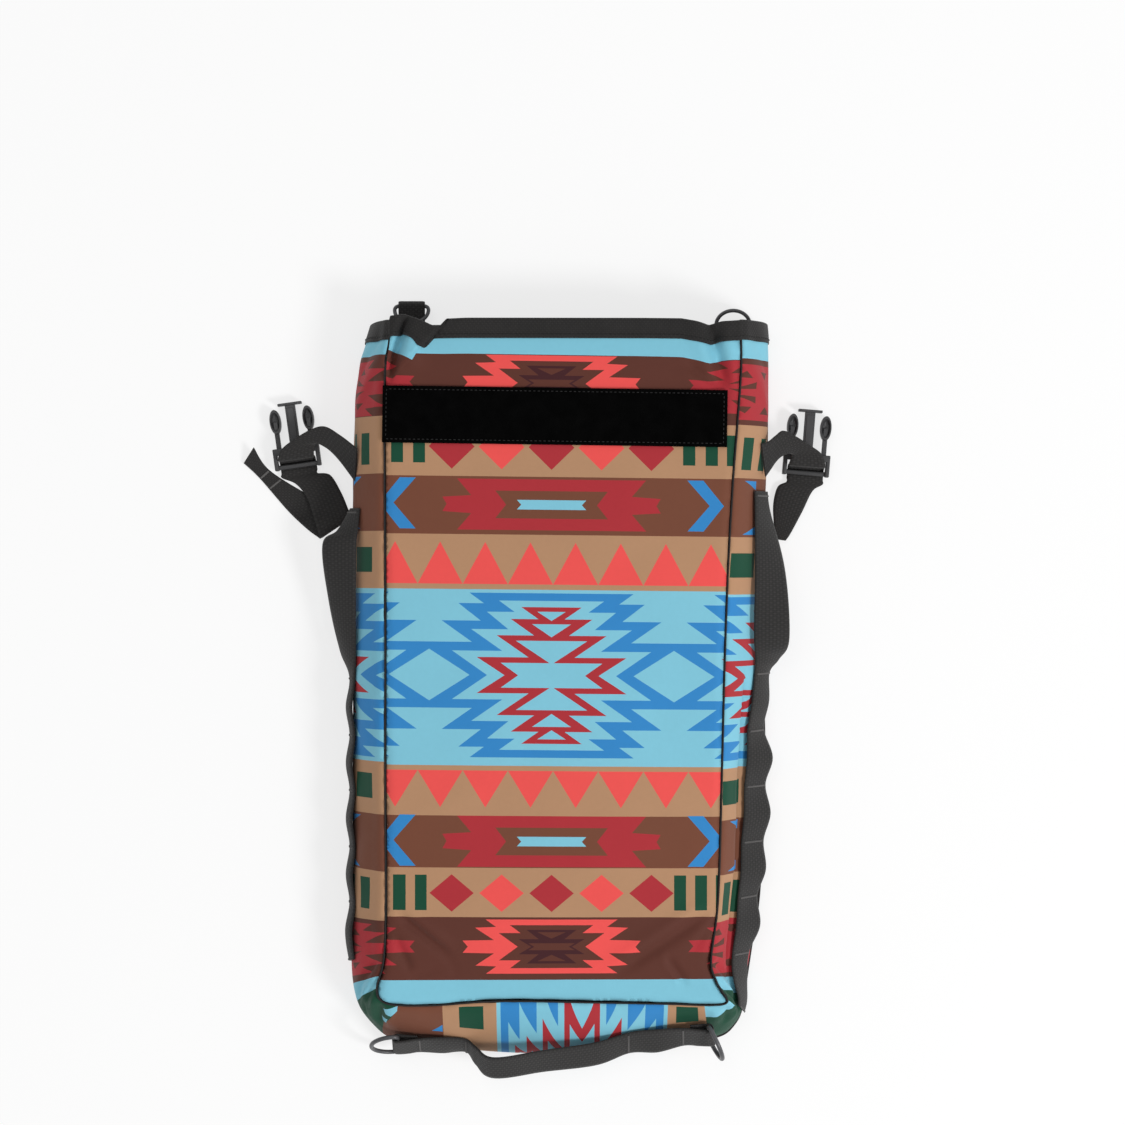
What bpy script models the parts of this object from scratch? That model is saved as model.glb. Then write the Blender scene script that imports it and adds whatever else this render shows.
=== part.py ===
"""Flat rectangular carrying bag of printed cloth, for Blender 4.5.

The bag lies on its back: X runs across it, Y towards its mouth and Z up. The origin is on the underside
of the back panel. Sizes are in millimetres here and become metres where a vertex is placed.
"""

import math

import bmesh
import bpy
from mathutils import Matrix, Vector
from mathutils.geometry import delaunay_2d_cdt

MM = 0.001

# Cloth, webbing and clearance
CLOTH = 1.2
BACK_CLOTH = 1.4
WEBBING = 1.4
WEBBING_WIDTH = 25.0
GAP = 0.3
SEAM_RADIUS = 1.1
SEAM_MARGIN = 1.6

# Mouth: the cloth edge, its binding and the tucks in the front lip
MOUTH_Y = 243.5
BINDING_DEPTH = 12.5
BINDING_WALL = 0.8
BINDING_SLOT = CLOTH / 2 + GAP + 0.25
LEFT_TUCK_X = -82.0
LEFT_TUCK_DROP = 5.0
RIGHT_TUCK_X = 101.0
RIGHT_TUCK_DROP = 4.0
TUCK_WIDTH = 9.0

# The front panel is domed, and the back lip is lifted by its binding
CROWN = 3.0
STRIP_CROWN = 1.0
BACK_LIFT = 1.4
BACK_LIFT_FROM = 214.0
BACK_LIFT_TO = 229.0

# Steps of the meshes that meet at the mouth
FRONT_STEPS = 28
SIDE_STEPS = 6
BACK_STEPS = 6

# Gusset stations from the mouth's left side, round the bottom, to its right side.
# Each holds the front seam, the ridge where the gusset is fullest and the back seam.
GUSSET_STATIONS = (
    ((-111, 244, 56), (-122.5, 244, 28), (-125, 244, 3.3)),
    ((-112, 228, 57), (-127.8, 228, 28), (-128, 228, 3.3)),
    ((-114, 212, 58), (-132, 212, 28), (-130.5, 212, 3.3)),
    ((-114.5, 170, 58), (-135.5, 170, 28), (-133, 170, 3.3)),
    ((-114, 60, 58), (-136.5, 60, 28), (-133, 60, 3.3)),
    ((-114, -60, 58), (-136.5, -60, 28), (-133, -60, 3.3)),
    ((-113.5, -145, 58), (-136.5, -145, 28), (-133, -145, 3.3)),
    ((-115, -184, 56), (-137, -190, 27), (-134, -192, 3.3)),
    ((-120, -204, 52), (-134, -216, 25), (-131, -222, 3.3)),
    ((-117, -213, 50), (-124, -231, 23), (-122, -238, 3.3)),
    ((-106, -216, 50), (-109, -239, 23), (-108, -247, 3.3)),
    ((-80, -216, 50), (-80, -242, 24), (-80, -250, 3.3)),
    ((-37, -213, 52), (-37, -248, 24), (-37, -252, 3.3)),
    ((30, -214, 52), (30, -247, 24), (30, -252, 3.3)),
    ((75, -215, 51), (75, -241, 23), (75, -249, 3.3)),
    ((104, -216, 50), (108, -236, 22), (110, -245, 3.3)),
    ((115, -214, 50.5), (121, -229, 23), (122.5, -236, 3.3)),
    ((112, -207, 52), (125, -218, 24), (128, -223, 3.3)),
    ((107, -198, 54), (123, -203, 26), (130.5, -205, 3.3)),
    ((104, -184, 56), (122, -184, 27), (133.5, -185, 3.3)),
    ((108.5, -144, 58), (126, -144, 27), (139.5, -144, 3.3)),
    ((111, -64, 58), (131, -64, 27), (143, -64, 3.3)),
    ((113, 16, 58), (135, 16, 28), (141.5, 16, 3.3)),
    ((115.5, 83, 58), (138, 83, 28), (142, 83, 3.3)),
    ((118.5, 136, 58), (139.5, 136, 28), (141.5, 136, 3.3)),
    ((121.5, 175, 58), (143, 175, 28), (140, 175, 3.3)),
    ((124, 212, 58), (143, 212, 28), (140, 212, 3.3)),
    ((123.5, 244, 56), (141, 244, 28), (139, 244, 3.3)),
)
LAST_STATION = len(GUSSET_STATIONS) - 1
STATIONS_FROM_Y = GUSSET_STATIONS[0][0][1]
BACK_SEAM_Z = 1.3
INSIDE_BAG = Vector((5, 15, 30))

# Wide loop strip across the front, near the mouth
STRIP_WIDTH = 230.0
STRIP_HEIGHT = 38.0
STRIP_THICKNESS = 1.6
STRIP_CENTRE = (-0.6, 178.5)
STRIP_TILT = math.radians(-0.8)

# Rings: the bar that the webbing holds, the depth of the bow and the wire
BIG_RING = {"half_bar": 15.0, "depth": 18.0, "wire": 1.5}
SMALL_RING = {"half_bar": 11.6, "depth": 13.0, "wire": 1.3}
BAR_LOOP = 2.7
TAB_WIDTH = 18.0

# Buckle halves: the ladder that takes the strap, the guide and the two prongs
BUCKLE_WIDTH = 32.0
LADDER_RAIL = 2.8
LADDER_LENGTH = 13.0
LADDER_HALF_HEIGHT = 3.6
CROSSBAR_START = 8.4
BUCKLE_BAR_RADIUS = 1.6
GUIDE_WIDTH = 7.0
GUIDE_END = 43.0
HEAD_WIDTH = 16.5
PRONG_OFFSET = 11.4
PRONG_STEM = 3.2
PADDLE_WIDTH = 7.6
PADDLE_LENGTH = 17.0
PADDLE_CENTRE = 31.5
BUCKLE_LOW_HALF_HEIGHT = 2.2

# Where each buckle's rear bar lies, and the way its prongs point in plan
LEFT_BUCKLE = {"bar": (-177.1, 147.7, 5.2), "forward": (-0.139, 0.990)}
RIGHT_BUCKLE = {"bar": (171.5, 142.5, 5.2), "forward": (0.080, 0.997)}

# Print bands on the front, from the mouth down: the lower edge of each and its colour
FRONT_BANDS = (
    (217.0, "light_blue"),
    (178.0, "dark_brown"),
    (138.5, "tan"),
    (98.5, "brown"),
    (65.5, "tan"),
    (62.5, "coral"),
    (-55.0, "light_blue"),
    (-84.0, "coral"),
    (-89.0, "tan"),
    (-122.5, "brown"),
    (-155.0, "tan"),
    (-198.5, "dark_brown"),
    (-260.0, "light_blue"),
)
COLOURS = {
    "light_blue": (0.216, 0.565, 0.708),
    "blue": (0.027, 0.238, 0.578),
    "coral": (0.871, 0.084, 0.078),
    "dark_red": (0.423, 0.023, 0.033),
    "tan": (0.462, 0.254, 0.138),
    "brown": (0.174, 0.056, 0.028),
    "dark_brown": (0.105, 0.027, 0.016),
    "green": (0.0, 0.06, 0.028),
    "black_cloth": (0.012, 0.012, 0.012),
    "binding": (0.025, 0.023, 0.022),
    "webbing": (0.040, 0.038, 0.037),
    "loop_pile": (0.004, 0.004, 0.004),
    "buckle": (0.050, 0.050, 0.052),
    "ring": (0.090, 0.090, 0.094),
}
ROUGHNESS = {"buckle": 0.45, "ring": 0.35, "loop_pile": 0.95}


def clear_scene():
    for obj in list(bpy.data.objects):
        bpy.data.objects.remove(obj, do_unlink=True)


def new_collection(name):
    collection = bpy.data.collections.new(name)
    bpy.context.scene.collection.children.link(collection)
    return collection


def material(name):
    """A cloth or plastic material of one of the bag's colours."""
    found = bpy.data.materials.get(name)
    if found:
        return found
    made = bpy.data.materials.new(name)
    made.use_nodes = True
    shader = made.node_tree.nodes["Principled BSDF"]
    shader.inputs["Base Color"].default_value = (*COLOURS[name], 1.0)
    shader.inputs["Roughness"].default_value = ROUGHNESS.get(name, 0.8)
    shader.inputs["Metallic"].default_value = 0.0
    return made


def add_object(collection, name, data, colours):
    obj = bpy.data.objects.new(name, data)
    for colour in colours:
        data.materials.append(material(colour))
    collection.objects.link(obj)
    return obj


def catmull(a, b, c, d, t):
    return 0.5 * (2 * b + (c - a) * t + (2 * a - 5 * b + 4 * c - d) * t * t + (3 * b - a - 3 * c + d) * t ** 3)


def along(values, t):
    """The smooth curve through the values, at t counted in values from the first."""
    last = len(values) - 1
    t = min(max(t, 0.0), last)
    i = min(int(t), last - 1)
    ends = [values[min(max(i + k, 0), last)] for k in (-1, 0, 1, 2)]
    return catmull(*ends, t - i)


def smooth_step(x, low, high):
    t = min(max((x - low) / (high - low), 0.0), 1.0)
    return t * t * (3 - 2 * t)


FRONT_SEAM = [Vector(station[0]) for station in GUSSET_STATIONS]
RIDGE = [Vector(station[1]) for station in GUSSET_STATIONS]
BACK_SEAM = [Vector(station[2]) for station in GUSSET_STATIONS]


def gusset_point(s, w):
    """The middle of the gusset cloth at station s, from the front seam at w = 0 to the back seam at w = 1."""
    front, ridge, back = along(FRONT_SEAM, s), along(RIDGE, s), along(BACK_SEAM, s)
    front = front + (ridge - front).normalized() * (SEAM_RADIUS + 3 * GAP)
    return (
        front * (2 * (w - 0.5) * (w - 1))
        + ridge * (4 * w * (1 - w))
        + back * (2 * w * (w - 0.5))
    )


def gusset_normal(s, w):
    """The way out of the bag, square to the gusset."""
    step = 0.02
    down = gusset_point(s, min(w + step, 1)) - gusset_point(s, max(w - step, 0))
    round_it = gusset_point(min(s + step, LAST_STATION), w) - gusset_point(max(s - step, 0), w)
    normal = down.cross(round_it).normalized()
    return normal if normal.dot(gusset_point(s, w) - INSIDE_BAG) > 0 else -normal


def ridge_lengths(steps_per_station=20):
    """Station numbers and the distance along the ridge at each, from the mouth's left side."""
    stations, lengths, total = [0.0], [0.0], 0.0
    before = along(RIDGE, 0)
    for i in range(1, LAST_STATION * steps_per_station + 1):
        here = along(RIDGE, i / steps_per_station)
        total += (here - before).length
        stations.append(i / steps_per_station)
        lengths.append(total)
        before = here
    return stations, lengths


STATION_AT, LENGTH_AT = ridge_lengths()
RIDGE_LENGTH = LENGTH_AT[-1]


def station_at(distance):
    """The station number at a distance along the ridge from the mouth's left side."""
    distance = min(max(distance, 0.0), RIDGE_LENGTH)
    for i in range(1, len(LENGTH_AT)):
        if LENGTH_AT[i] >= distance:
            share = (distance - LENGTH_AT[i - 1]) / (LENGTH_AT[i] - LENGTH_AT[i - 1])
            return STATION_AT[i - 1] + share * (STATION_AT[i] - STATION_AT[i - 1])
    return float(LAST_STATION)


def tuck(x):
    """How far the front lip drops towards the bottom in its two tucks."""
    left = LEFT_TUCK_DROP * math.exp(-((x - LEFT_TUCK_X) / TUCK_WIDTH) ** 2)
    right = RIGHT_TUCK_DROP * math.exp(-((x - RIGHT_TUCK_X) / TUCK_WIDTH) ** 2)
    return left + right


def seam_height(y):
    """The height of the front seam, the same on both sides of the bag."""
    return 56 + 2 * smooth_step(-y, -244, -212) - 8 * smooth_step(-y, 150, 216)


def side_x(y, side):
    """Where the front seam runs at y: side is -1 on the left and 1 on the right."""
    points = [p for p in FRONT_SEAM if p.x * side > 100 and p.y > -200]
    points.sort(key=lambda p: p.y)
    for low, high in zip(points, points[1:]):
        if low.y <= y <= high.y:
            return low.x + (high.x - low.x) * (y - low.y) / (high.y - low.y)
    return points[0].x if y < points[0].y else points[-1].x


def front_height(x, y):
    """The middle of the front cloth: domed across, but nearly flat where the loop strip stiffens it."""
    left, right = side_x(y, -1), side_x(y, 1)
    across = (2 * x - left - right) / (right - left)
    bottom = smooth_step(y, -214, -150)
    crown = CROWN + (STRIP_CROWN - CROWN) * smooth_step(y, 90, 150)
    return seam_height(y) + crown * max(1 - across * across, 0) * bottom


def back_height(y):
    return BACK_CLOTH / 2 + BACK_LIFT * smooth_step(y, BACK_LIFT_FROM, BACK_LIFT_TO)


def place(mesh, positions):
    """Moves a mesh's vertices to positions given in millimetres."""
    for vertex, position in zip(mesh.verts, positions):
        vertex.co = position * MM


def grid_sheet(rows, columns, point):
    """A bmesh grid whose vertex at row and column shares u, v in 0..1 is at point(u, v)."""
    mesh = bmesh.new()
    bmesh.ops.create_grid(mesh, x_segments=columns, y_segments=rows, size=1.0)
    shares = [((vertex.co.y + 1) / 2, (vertex.co.x + 1) / 2) for vertex in mesh.verts]
    place(mesh, [point(u, v) for u, v in shares])
    return mesh


def finish_mesh(mesh, name):
    data = bpy.data.meshes.new(name)
    mesh.to_mesh(data)
    mesh.free()
    return data


def add_thickness(obj, thickness):
    solid = obj.modifiers.new("thickness", "SOLIDIFY")
    solid.thickness = thickness * MM
    solid.offset = 0.0


def flat_outline(points, inset):
    """The outline moved in by inset, square to itself in plan."""
    moved = []
    for i, here in enumerate(points):
        ahead, behind = points[min(i + 1, len(points) - 1)], points[max(i - 1, 0)]
        run = (ahead - behind).to_2d().normalized()
        moved.append(Vector((here.x - run.y * inset, here.y + run.x * inset)))
    return moved


def seam_outline(seam, inset, top_y):
    """The U of a seam up to top_y, in plan, as a list from the left end to the right end."""
    samples = [along(seam, i / 4) for i in range(LAST_STATION * 4 + 1)]
    moved = flat_outline(samples, inset)
    below = [p for p in moved if p.y < top_y - 2]
    left_end = Vector((moved[0].x, top_y))
    right_end = Vector((moved[-1].x, top_y))
    return [left_end, *below, right_end]


def inside(point, outline):
    """True where the point is within the closed outline."""
    found = False
    for a, b in zip(outline, outline[1:] + outline[:1]):
        if (a.y > point.y) != (b.y > point.y):
            if point.x < a.x + (b.x - a.x) * (point.y - a.y) / (b.y - a.y):
                found = not found
    return found


def cloth_panel(outline, step, height, lines=()):
    """A bmesh sheet within the outline, with rows of edges along the lines, at height(x, y)."""
    corners = list(outline)
    edges = [(i, (i + 1) % len(outline)) for i in range(len(outline))]
    left = min(p.x for p in outline)
    right = max(p.x for p in outline)
    low = min(p.y for p in outline)
    high = max(p.y for p in outline)
    for y in lines:
        corners += [Vector((left - step, y)), Vector((right + step, y))]
        edges.append((len(corners) - 2, len(corners) - 1))
    columns = round((right - left) / step)
    rows = round((high - low) / step)
    for y in lines:
        for i in range(1, columns):
            point = Vector((left + (right - left) * i / columns, y))
            if inside(point, outline):
                corners.append(point)
    for i in range(1, columns):
        for j in range(1, rows):
            point = Vector((left + (right - left) * i / columns, low + (high - low) * j / rows))
            if inside(point, outline) and all(abs(point.y - y) > step / 3 for y in lines):
                corners.append(point)
    points, _, faces, *_ = delaunay_2d_cdt(corners, edges, [], 0, 1e-4)
    mesh = bmesh.new()
    for point in points:
        mesh.verts.new(Vector((point.x, point.y, height(point.x, point.y))) * MM)
    mesh.verts.ensure_lookup_table()
    for face in faces:
        centre = sum((points[i] for i in face), Vector((0, 0))) / len(face)
        if inside(centre, outline):
            mesh.faces.new([mesh.verts[i] for i in face])
    loose = [vertex for vertex in mesh.verts if not vertex.link_faces]
    bmesh.ops.delete(mesh, geom=loose, context="VERTS")
    return mesh


def band_at(y):
    for low, colour in FRONT_BANDS:
        if y > low:
            return colour
    return FRONT_BANDS[-1][1]


def add_front_panel(collection):
    """The printed front, its cloth edge inside the binding at the mouth and clear of the seam elsewhere."""
    top = MOUTH_Y - BINDING_WALL - GAP
    outline = seam_outline(FRONT_SEAM, SEAM_MARGIN, top)
    left, right = outline[0], outline[-1]
    lip = [left.lerp(right, i / FRONT_STEPS) for i in range(FRONT_STEPS - 1, 0, -1)]
    outline = outline + [Vector((p.x, p.y - tuck(p.x))) for p in lip]
    lines = [low for low, _ in FRONT_BANDS[:-1]] + [MOUTH_Y - BINDING_DEPTH, MOUTH_Y - BINDING_DEPTH - 6]
    mesh = cloth_panel(outline, 22.0, front_height, lines)
    colours = sorted({colour for _, colour in FRONT_BANDS})
    for face in mesh.faces:
        face.material_index = colours.index(band_at(face.calc_center_median().y / MM))
    obj = add_object(collection, "front_panel", finish_mesh(mesh, "front_panel"), colours)
    add_thickness(obj, CLOTH)
    return obj


def add_back_panel(collection):
    """The plain back, flat underneath except where the mouth's binding lifts it."""
    top = MOUTH_Y - BINDING_WALL - GAP
    outline = seam_outline(BACK_SEAM, SEAM_MARGIN, top)
    left, right = outline[0], outline[-1]
    outline = outline + [left.lerp(right, i / BACK_STEPS) for i in range(BACK_STEPS - 1, 0, -1)]
    lines = (BACK_LIFT_FROM, (BACK_LIFT_FROM + BACK_LIFT_TO) / 2, BACK_LIFT_TO)
    mesh = cloth_panel(outline, 60.0, lambda x, y: back_height(y), lines)
    obj = add_object(collection, "back_panel", finish_mesh(mesh, "back_panel"), ["black_cloth"])
    add_thickness(obj, BACK_CLOTH)
    return obj


def add_gusset(collection):
    """The printed strip round the sides and the bottom, in one length."""
    rows, columns = LAST_STATION * 2, SIDE_STEPS
    edge = BINDING_WALL + GAP + STATIONS_FROM_Y - MOUTH_Y
    first, last = station_at(edge), station_at(RIDGE_LENGTH - edge)
    mesh = grid_sheet(rows, columns, lambda u, v: gusset_point(first + (last - first) * u, v))
    colours = sorted({colour for _, colour in FRONT_BANDS})
    for face in mesh.faces:
        face.material_index = colours.index(band_at(face.calc_center_median().y / MM))
    obj = add_object(collection, "gusset", finish_mesh(mesh, "gusset"), colours)
    add_thickness(obj, CLOTH)
    return obj


def add_tube(collection, name, points, radius, colour, closed=False, resolution=1):
    """A tube of round section through points, with filled ends when it is open."""
    curve = bpy.data.curves.new(name, "CURVE")
    curve.dimensions = "3D"
    curve.bevel_depth = radius * MM
    curve.bevel_resolution = resolution
    curve.use_fill_caps = not closed
    spline = curve.splines.new("POLY")
    spline.points.add(len(points) - 1)
    for target, point in zip(spline.points, points):
        target.co = (*(point * MM), 1.0)
    spline.use_cyclic_u = closed
    return add_object(collection, name, curve, [colour])


def add_seams(collection):
    """The black seam allowance along each edge of the gusset, up to the mouth's binding."""
    end_y = MOUTH_Y - BINDING_DEPTH - 2 * GAP
    for name, seam, height in (("front_seam", FRONT_SEAM, None), ("back_seam", BACK_SEAM, BACK_SEAM_Z)):
        points = [along(seam, i / 3) for i in range(LAST_STATION * 3 + 1)]
        points = [p for p in points if p.y < end_y - 3]
        first, last = points[0].copy(), points[-1].copy()
        first.y = last.y = end_y
        points = [first, *points, last]
        if height:
            points = [Vector((p.x, p.y, height)) for p in points]
        add_tube(collection, name, points, SEAM_RADIUS, "binding", resolution=0)


def mouth_loop(y):
    """The middle of the cloth round the mouth at y, as a closed list: front, right, back, left."""
    points = []
    left, right = side_x(y, -1) + SEAM_MARGIN, side_x(y, 1) - SEAM_MARGIN
    for i in range(FRONT_STEPS + 1):
        x = left + (right - left) * i / FRONT_STEPS
        drop = tuck(x)
        points.append(Vector((x, y - drop, front_height(x, y))))
    right_s = station_at(RIDGE_LENGTH - (STATIONS_FROM_Y - y))
    points += [gusset_point(right_s, i / SIDE_STEPS) for i in range(SIDE_STEPS + 1)]
    left_s = station_at(STATIONS_FROM_Y - y)
    back_left, back_right = along(BACK_SEAM, left_s), along(BACK_SEAM, right_s)
    for i in range(BACK_STEPS + 1):
        x = back_right.x - SEAM_MARGIN - (back_right.x - back_left.x - 2 * SEAM_MARGIN) * i / BACK_STEPS
        points.append(Vector((x, y, back_height(y))))
    points += [gusset_point(left_s, 1 - i / SIDE_STEPS) for i in range(SIDE_STEPS + 1)]
    return points


def add_binding(collection):
    """A tape folded over the cloth edge all round the mouth, with the edge in its slot."""
    loops = [mouth_loop(MOUTH_Y - BINDING_DEPTH * share) for share in (1.0, 0.5, 0.0)]
    count = len(loops[0])
    wall = BINDING_SLOT + BINDING_WALL
    top = BINDING_WALL / BINDING_DEPTH
    profile = (
        (BINDING_SLOT, 0.0),
        (wall, 0.0),
        (wall, 1.0),
        (-wall, 1.0),
        (-wall, 0.0),
        (-BINDING_SLOT, 0.0),
        (-BINDING_SLOT, 0.5),
        (-BINDING_SLOT, 1.0 - top),
        (BINDING_SLOT, 1.0 - top),
        (BINDING_SLOT, 0.5),
    )

    def point(u, v):
        i = round(u * count) % count
        out, rise = profile[round(v * len(profile)) % len(profile)]
        level = min(int(rise * 2), 1)
        here = loops[level][i].lerp(loops[level + 1][i], rise * 2 - level)
        run = loops[0][(i + 1) % count] - loops[0][i - 1]
        normal = Vector((run.z, 0, -run.x)).normalized()
        away = here - INSIDE_BAG
        away.y = 0
        if normal.dot(away) < 0:
            normal = -normal
        return here + normal * out

    mesh = grid_sheet(count, len(profile), point)
    bmesh.ops.remove_doubles(mesh, verts=mesh.verts, dist=1e-5)
    bmesh.ops.recalc_face_normals(mesh, faces=mesh.faces)
    return add_object(collection, "mouth_binding", finish_mesh(mesh, "mouth_binding"), ["binding"])


def add_loop_strip(collection):
    """The wide strip of loop pile, its upper face flat over the domed cloth."""
    columns = 12
    cos, sin = math.cos(STRIP_TILT), math.sin(STRIP_TILT)
    over_seam = seam_height(STRIP_CENTRE[1]) + SEAM_RADIUS + GAP
    top = max(front_height(*STRIP_CENTRE) + CLOTH / 2 + GAP, over_seam) + STRIP_THICKNESS
    mesh = bmesh.new()
    bmesh.ops.create_cube(mesh, size=1.0)
    long_edges = [e for e in mesh.edges if abs(e.verts[0].co.x - e.verts[1].co.x) > 0.5]
    bmesh.ops.subdivide_edges(mesh, edges=long_edges, cuts=columns - 1, use_grid_fill=True)
    for vertex in mesh.verts:
        u, v, upper = vertex.co.x * STRIP_WIDTH, vertex.co.y * STRIP_HEIGHT, vertex.co.z > 0
        x = STRIP_CENTRE[0] + u * cos - v * sin
        y = STRIP_CENTRE[1] + u * sin + v * cos
        rest = max(front_height(x, STRIP_CENTRE[1]) + CLOTH / 2 + GAP, over_seam)
        z = top if upper else rest
        vertex.co = Vector((x, y, z)) * MM
    return add_object(collection, "loop_strip", finish_mesh(mesh, "loop_strip"), ["loop_pile"])


def ribbon(collection, name, rails, rows, colour="webbing", across=2):
    """A strap between two rails, each a list of points, as a sheet of the webbing's thickness."""
    left, right = rails
    last = len(left) - 1

    def point(u, v):
        return along(left, u * last).lerp(along(right, u * last), v)

    mesh = grid_sheet(rows, across, point)
    obj = add_object(collection, name, finish_mesh(mesh, name), [colour])
    add_thickness(obj, WEBBING)
    return obj


def gusset_edge(s, w, lift):
    return gusset_point(s, w) + gusset_normal(s, w) * lift


def lower_share(s, w_upper, lift_upper, lift_lower):
    """How far down the gusset webbing reaches when its upper edge is at w_upper."""
    top = gusset_edge(s, w_upper, lift_upper)
    low, high = w_upper, 1.0
    for _ in range(20):
        middle = (low + high) / 2
        if (gusset_edge(s, middle, lift_lower) - top).length < WEBBING_WIDTH:
            low = middle
        else:
            high = middle
    return low


def gusset_ribbon(collection, name, stations, rows):
    """Webbing that lies on the gusset.

    A station is the distance along the ridge, the share of the gusset at the upper edge, the lifts of the
    upper and lower edges, and how straight the webbing is across: 0 follows the gusset and 1 is flat.
    """
    numbers = []
    for distance, w_upper, lift_upper, lift_lower, straight in stations:
        w_lower = lower_share(station_at(distance), w_upper, lift_upper, lift_lower)
        numbers.append(Vector((distance, w_upper, w_lower, lift_upper, lift_lower, straight)))
    last = len(numbers) - 1

    def point(u, v):
        distance, w_upper, w_lower, lift_upper, lift_lower, straight = along(numbers, u * last)
        s = station_at(distance)
        w, lift = w_upper + (w_lower - w_upper) * v, lift_upper + (lift_lower - lift_upper) * v
        flat = gusset_edge(s, w_upper, lift_upper).lerp(gusset_edge(s, w_lower, lift_lower), v)
        return gusset_edge(s, w, lift).lerp(flat, straight)

    mesh = grid_sheet(rows, 3, point)
    obj = add_object(collection, name, finish_mesh(mesh, name), ["webbing"])
    add_thickness(obj, WEBBING)
    return obj


FLAT_LIFT = CLOTH / 2 + WEBBING / 2 + 2 * GAP
SLACK_LIFT = FLAT_LIFT + 2.2
TACK_PITCH = 38.0


# Small loops of the right webbing: distance from the mouth, upper share, and lifts of its upper and lower edges
RIGHT_LOOPS = (
    (239, 0.45, FLAT_LIFT, 5.0), (258, 0.40, 2.7, 5.4), (277, 0.36, FLAT_LIFT, 2.8), (296, 0.36, 2.7, 10.5),
    (315, 0.36, FLAT_LIFT, 5.5), (334, 0.36, 2.7, 11.0), (353, 0.36, FLAT_LIFT, 6.4), (372, 0.36, 2.7, 9.8),
    (391, 0.36, FLAT_LIFT, 4.4), (410, 0.36, 2.7, 9.0), (429, 0.36, FLAT_LIFT, 2.9), (448, 0.32, 2.2, 2.6),
    (467, 0.33, FLAT_LIFT, FLAT_LIFT),
)


def daisy_chain(start, tacks, w_upper, direction):
    """Stations of bar-tacked webbing: flat at each tack and slack between them."""
    stations = []
    for i in range(tacks):
        here = start + direction * TACK_PITCH * i
        stations.append((here, w_upper, FLAT_LIFT, FLAT_LIFT, 0))
        if i < tacks - 1:
            middle = here + direction * TACK_PITCH / 2
            stations.append((middle, w_upper, SLACK_LIFT, SLACK_LIFT + 0.6, 0))
    return stations


def add_side_webbing(collection):
    """Webbing down each side, with its long handle loop above a row of small loops."""
    left = [
        (128, 0.30, FLAT_LIFT, FLAT_LIFT, 0),
        (143, 0.30, 3.5, 11.0, 0),
        (153, 0.30, 4.5, 22.0, 0),
        (188, 0.32, 4.0, 17.0, 0),
        (225, 0.35, 3.0, 9.0, 0),
    ] + daisy_chain(244, 6, 0.40, 1)
    gusset_ribbon(collection, "left_webbing", left, 52)
    right_end = RIDGE_LENGTH
    right = [
        (right_end - 115, 0.28, FLAT_LIFT, FLAT_LIFT, 0),
        (right_end - 130, 0.28, 3.0, 4.5, 0),
        (right_end - 169, 0.30, 4.0, 16.5, 0),
        (right_end - 212, 0.32, 4.5, 23.0, 0),
        (right_end - 229, 0.42, 3.0, 12.0, 0),
    ] + [(right_end - distance, *rest, 0) for distance, *rest in RIGHT_LOOPS]
    gusset_ribbon(collection, "right_webbing", right, 58)


RING_LIFT = FLAT_LIFT + 2.4
BAR_LIFT = RING_LIFT + BAR_LOOP


def bar_wrap(distance, direction, w_upper):
    """Stations that carry webbing round a ring's bar, from its inner layer to its outer one."""
    stations = []
    for i in range(9):
        angle = math.radians(-90 + 180 * i / 8)
        lift = BAR_LIFT + BAR_LOOP * math.sin(angle)
        stations.append((distance + direction * BAR_LOOP * math.cos(angle), w_upper, lift, lift, 1))
    return stations


LEFT_RING_AT = 500.0
RIGHT_RING_AT = 712.0
BOTTOM_UPPER = {LEFT_RING_AT: 0.38, RIGHT_RING_AT: 0.22}


def add_bottom_webbing(collection):
    """Webbing across the bottom: each end is folded round a ring, with a handle loop between."""
    left, right = BOTTOM_UPPER[LEFT_RING_AT], BOTTOM_UPPER[RIGHT_RING_AT]
    inner, outer = RING_LIFT, RING_LIFT + WEBBING + GAP
    left_end = [(LEFT_RING_AT + 13, left, inner, inner, 1), (LEFT_RING_AT + 5, left, inner, inner, 1)]
    left_fold = bar_wrap(LEFT_RING_AT, -1, left)
    right_fold = bar_wrap(RIGHT_RING_AT, 1, right)[::-1]
    right_end = [(RIGHT_RING_AT - 5, right, inner, inner, 1), (RIGHT_RING_AT - 13, right, inner, inner, 1)]
    middle = [
        (LEFT_RING_AT + 7, left, outer + 2.0, outer + 2.0, 1),
        (LEFT_RING_AT + 14, left, outer + 0.3, outer + 0.3, 1),
        (LEFT_RING_AT + 30, left, 3.8, 5.5, 0.5),
        (LEFT_RING_AT + 46, left, FLAT_LIFT + 0.3, FLAT_LIFT + 0.3, 0),
        (LEFT_RING_AT + 54, 0.35, 9.0, 10.5, 0.5),
        (LEFT_RING_AT + 66, 0.34, 17.5, 19.5, 1),
        (LEFT_RING_AT + 98, 0.34, 11.0, 14.0, 1),
        (LEFT_RING_AT + 134, 0.32, 6.5, 10.5, 0.7),
        (LEFT_RING_AT + 157, 0.28, FLAT_LIFT + 0.6, 4.5, 0.5),
        (LEFT_RING_AT + 176, 0.25, 4.2, 8.0, 0.8),
        (RIGHT_RING_AT - 18, right, outer + 0.3, outer + 0.3, 1),
        (RIGHT_RING_AT - 8, right, outer + 2.0, outer + 2.0, 1),
    ]
    stations = left_end + left_fold + middle + right_fold + right_end
    gusset_ribbon(collection, "bottom_webbing", stations, 88)


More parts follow.
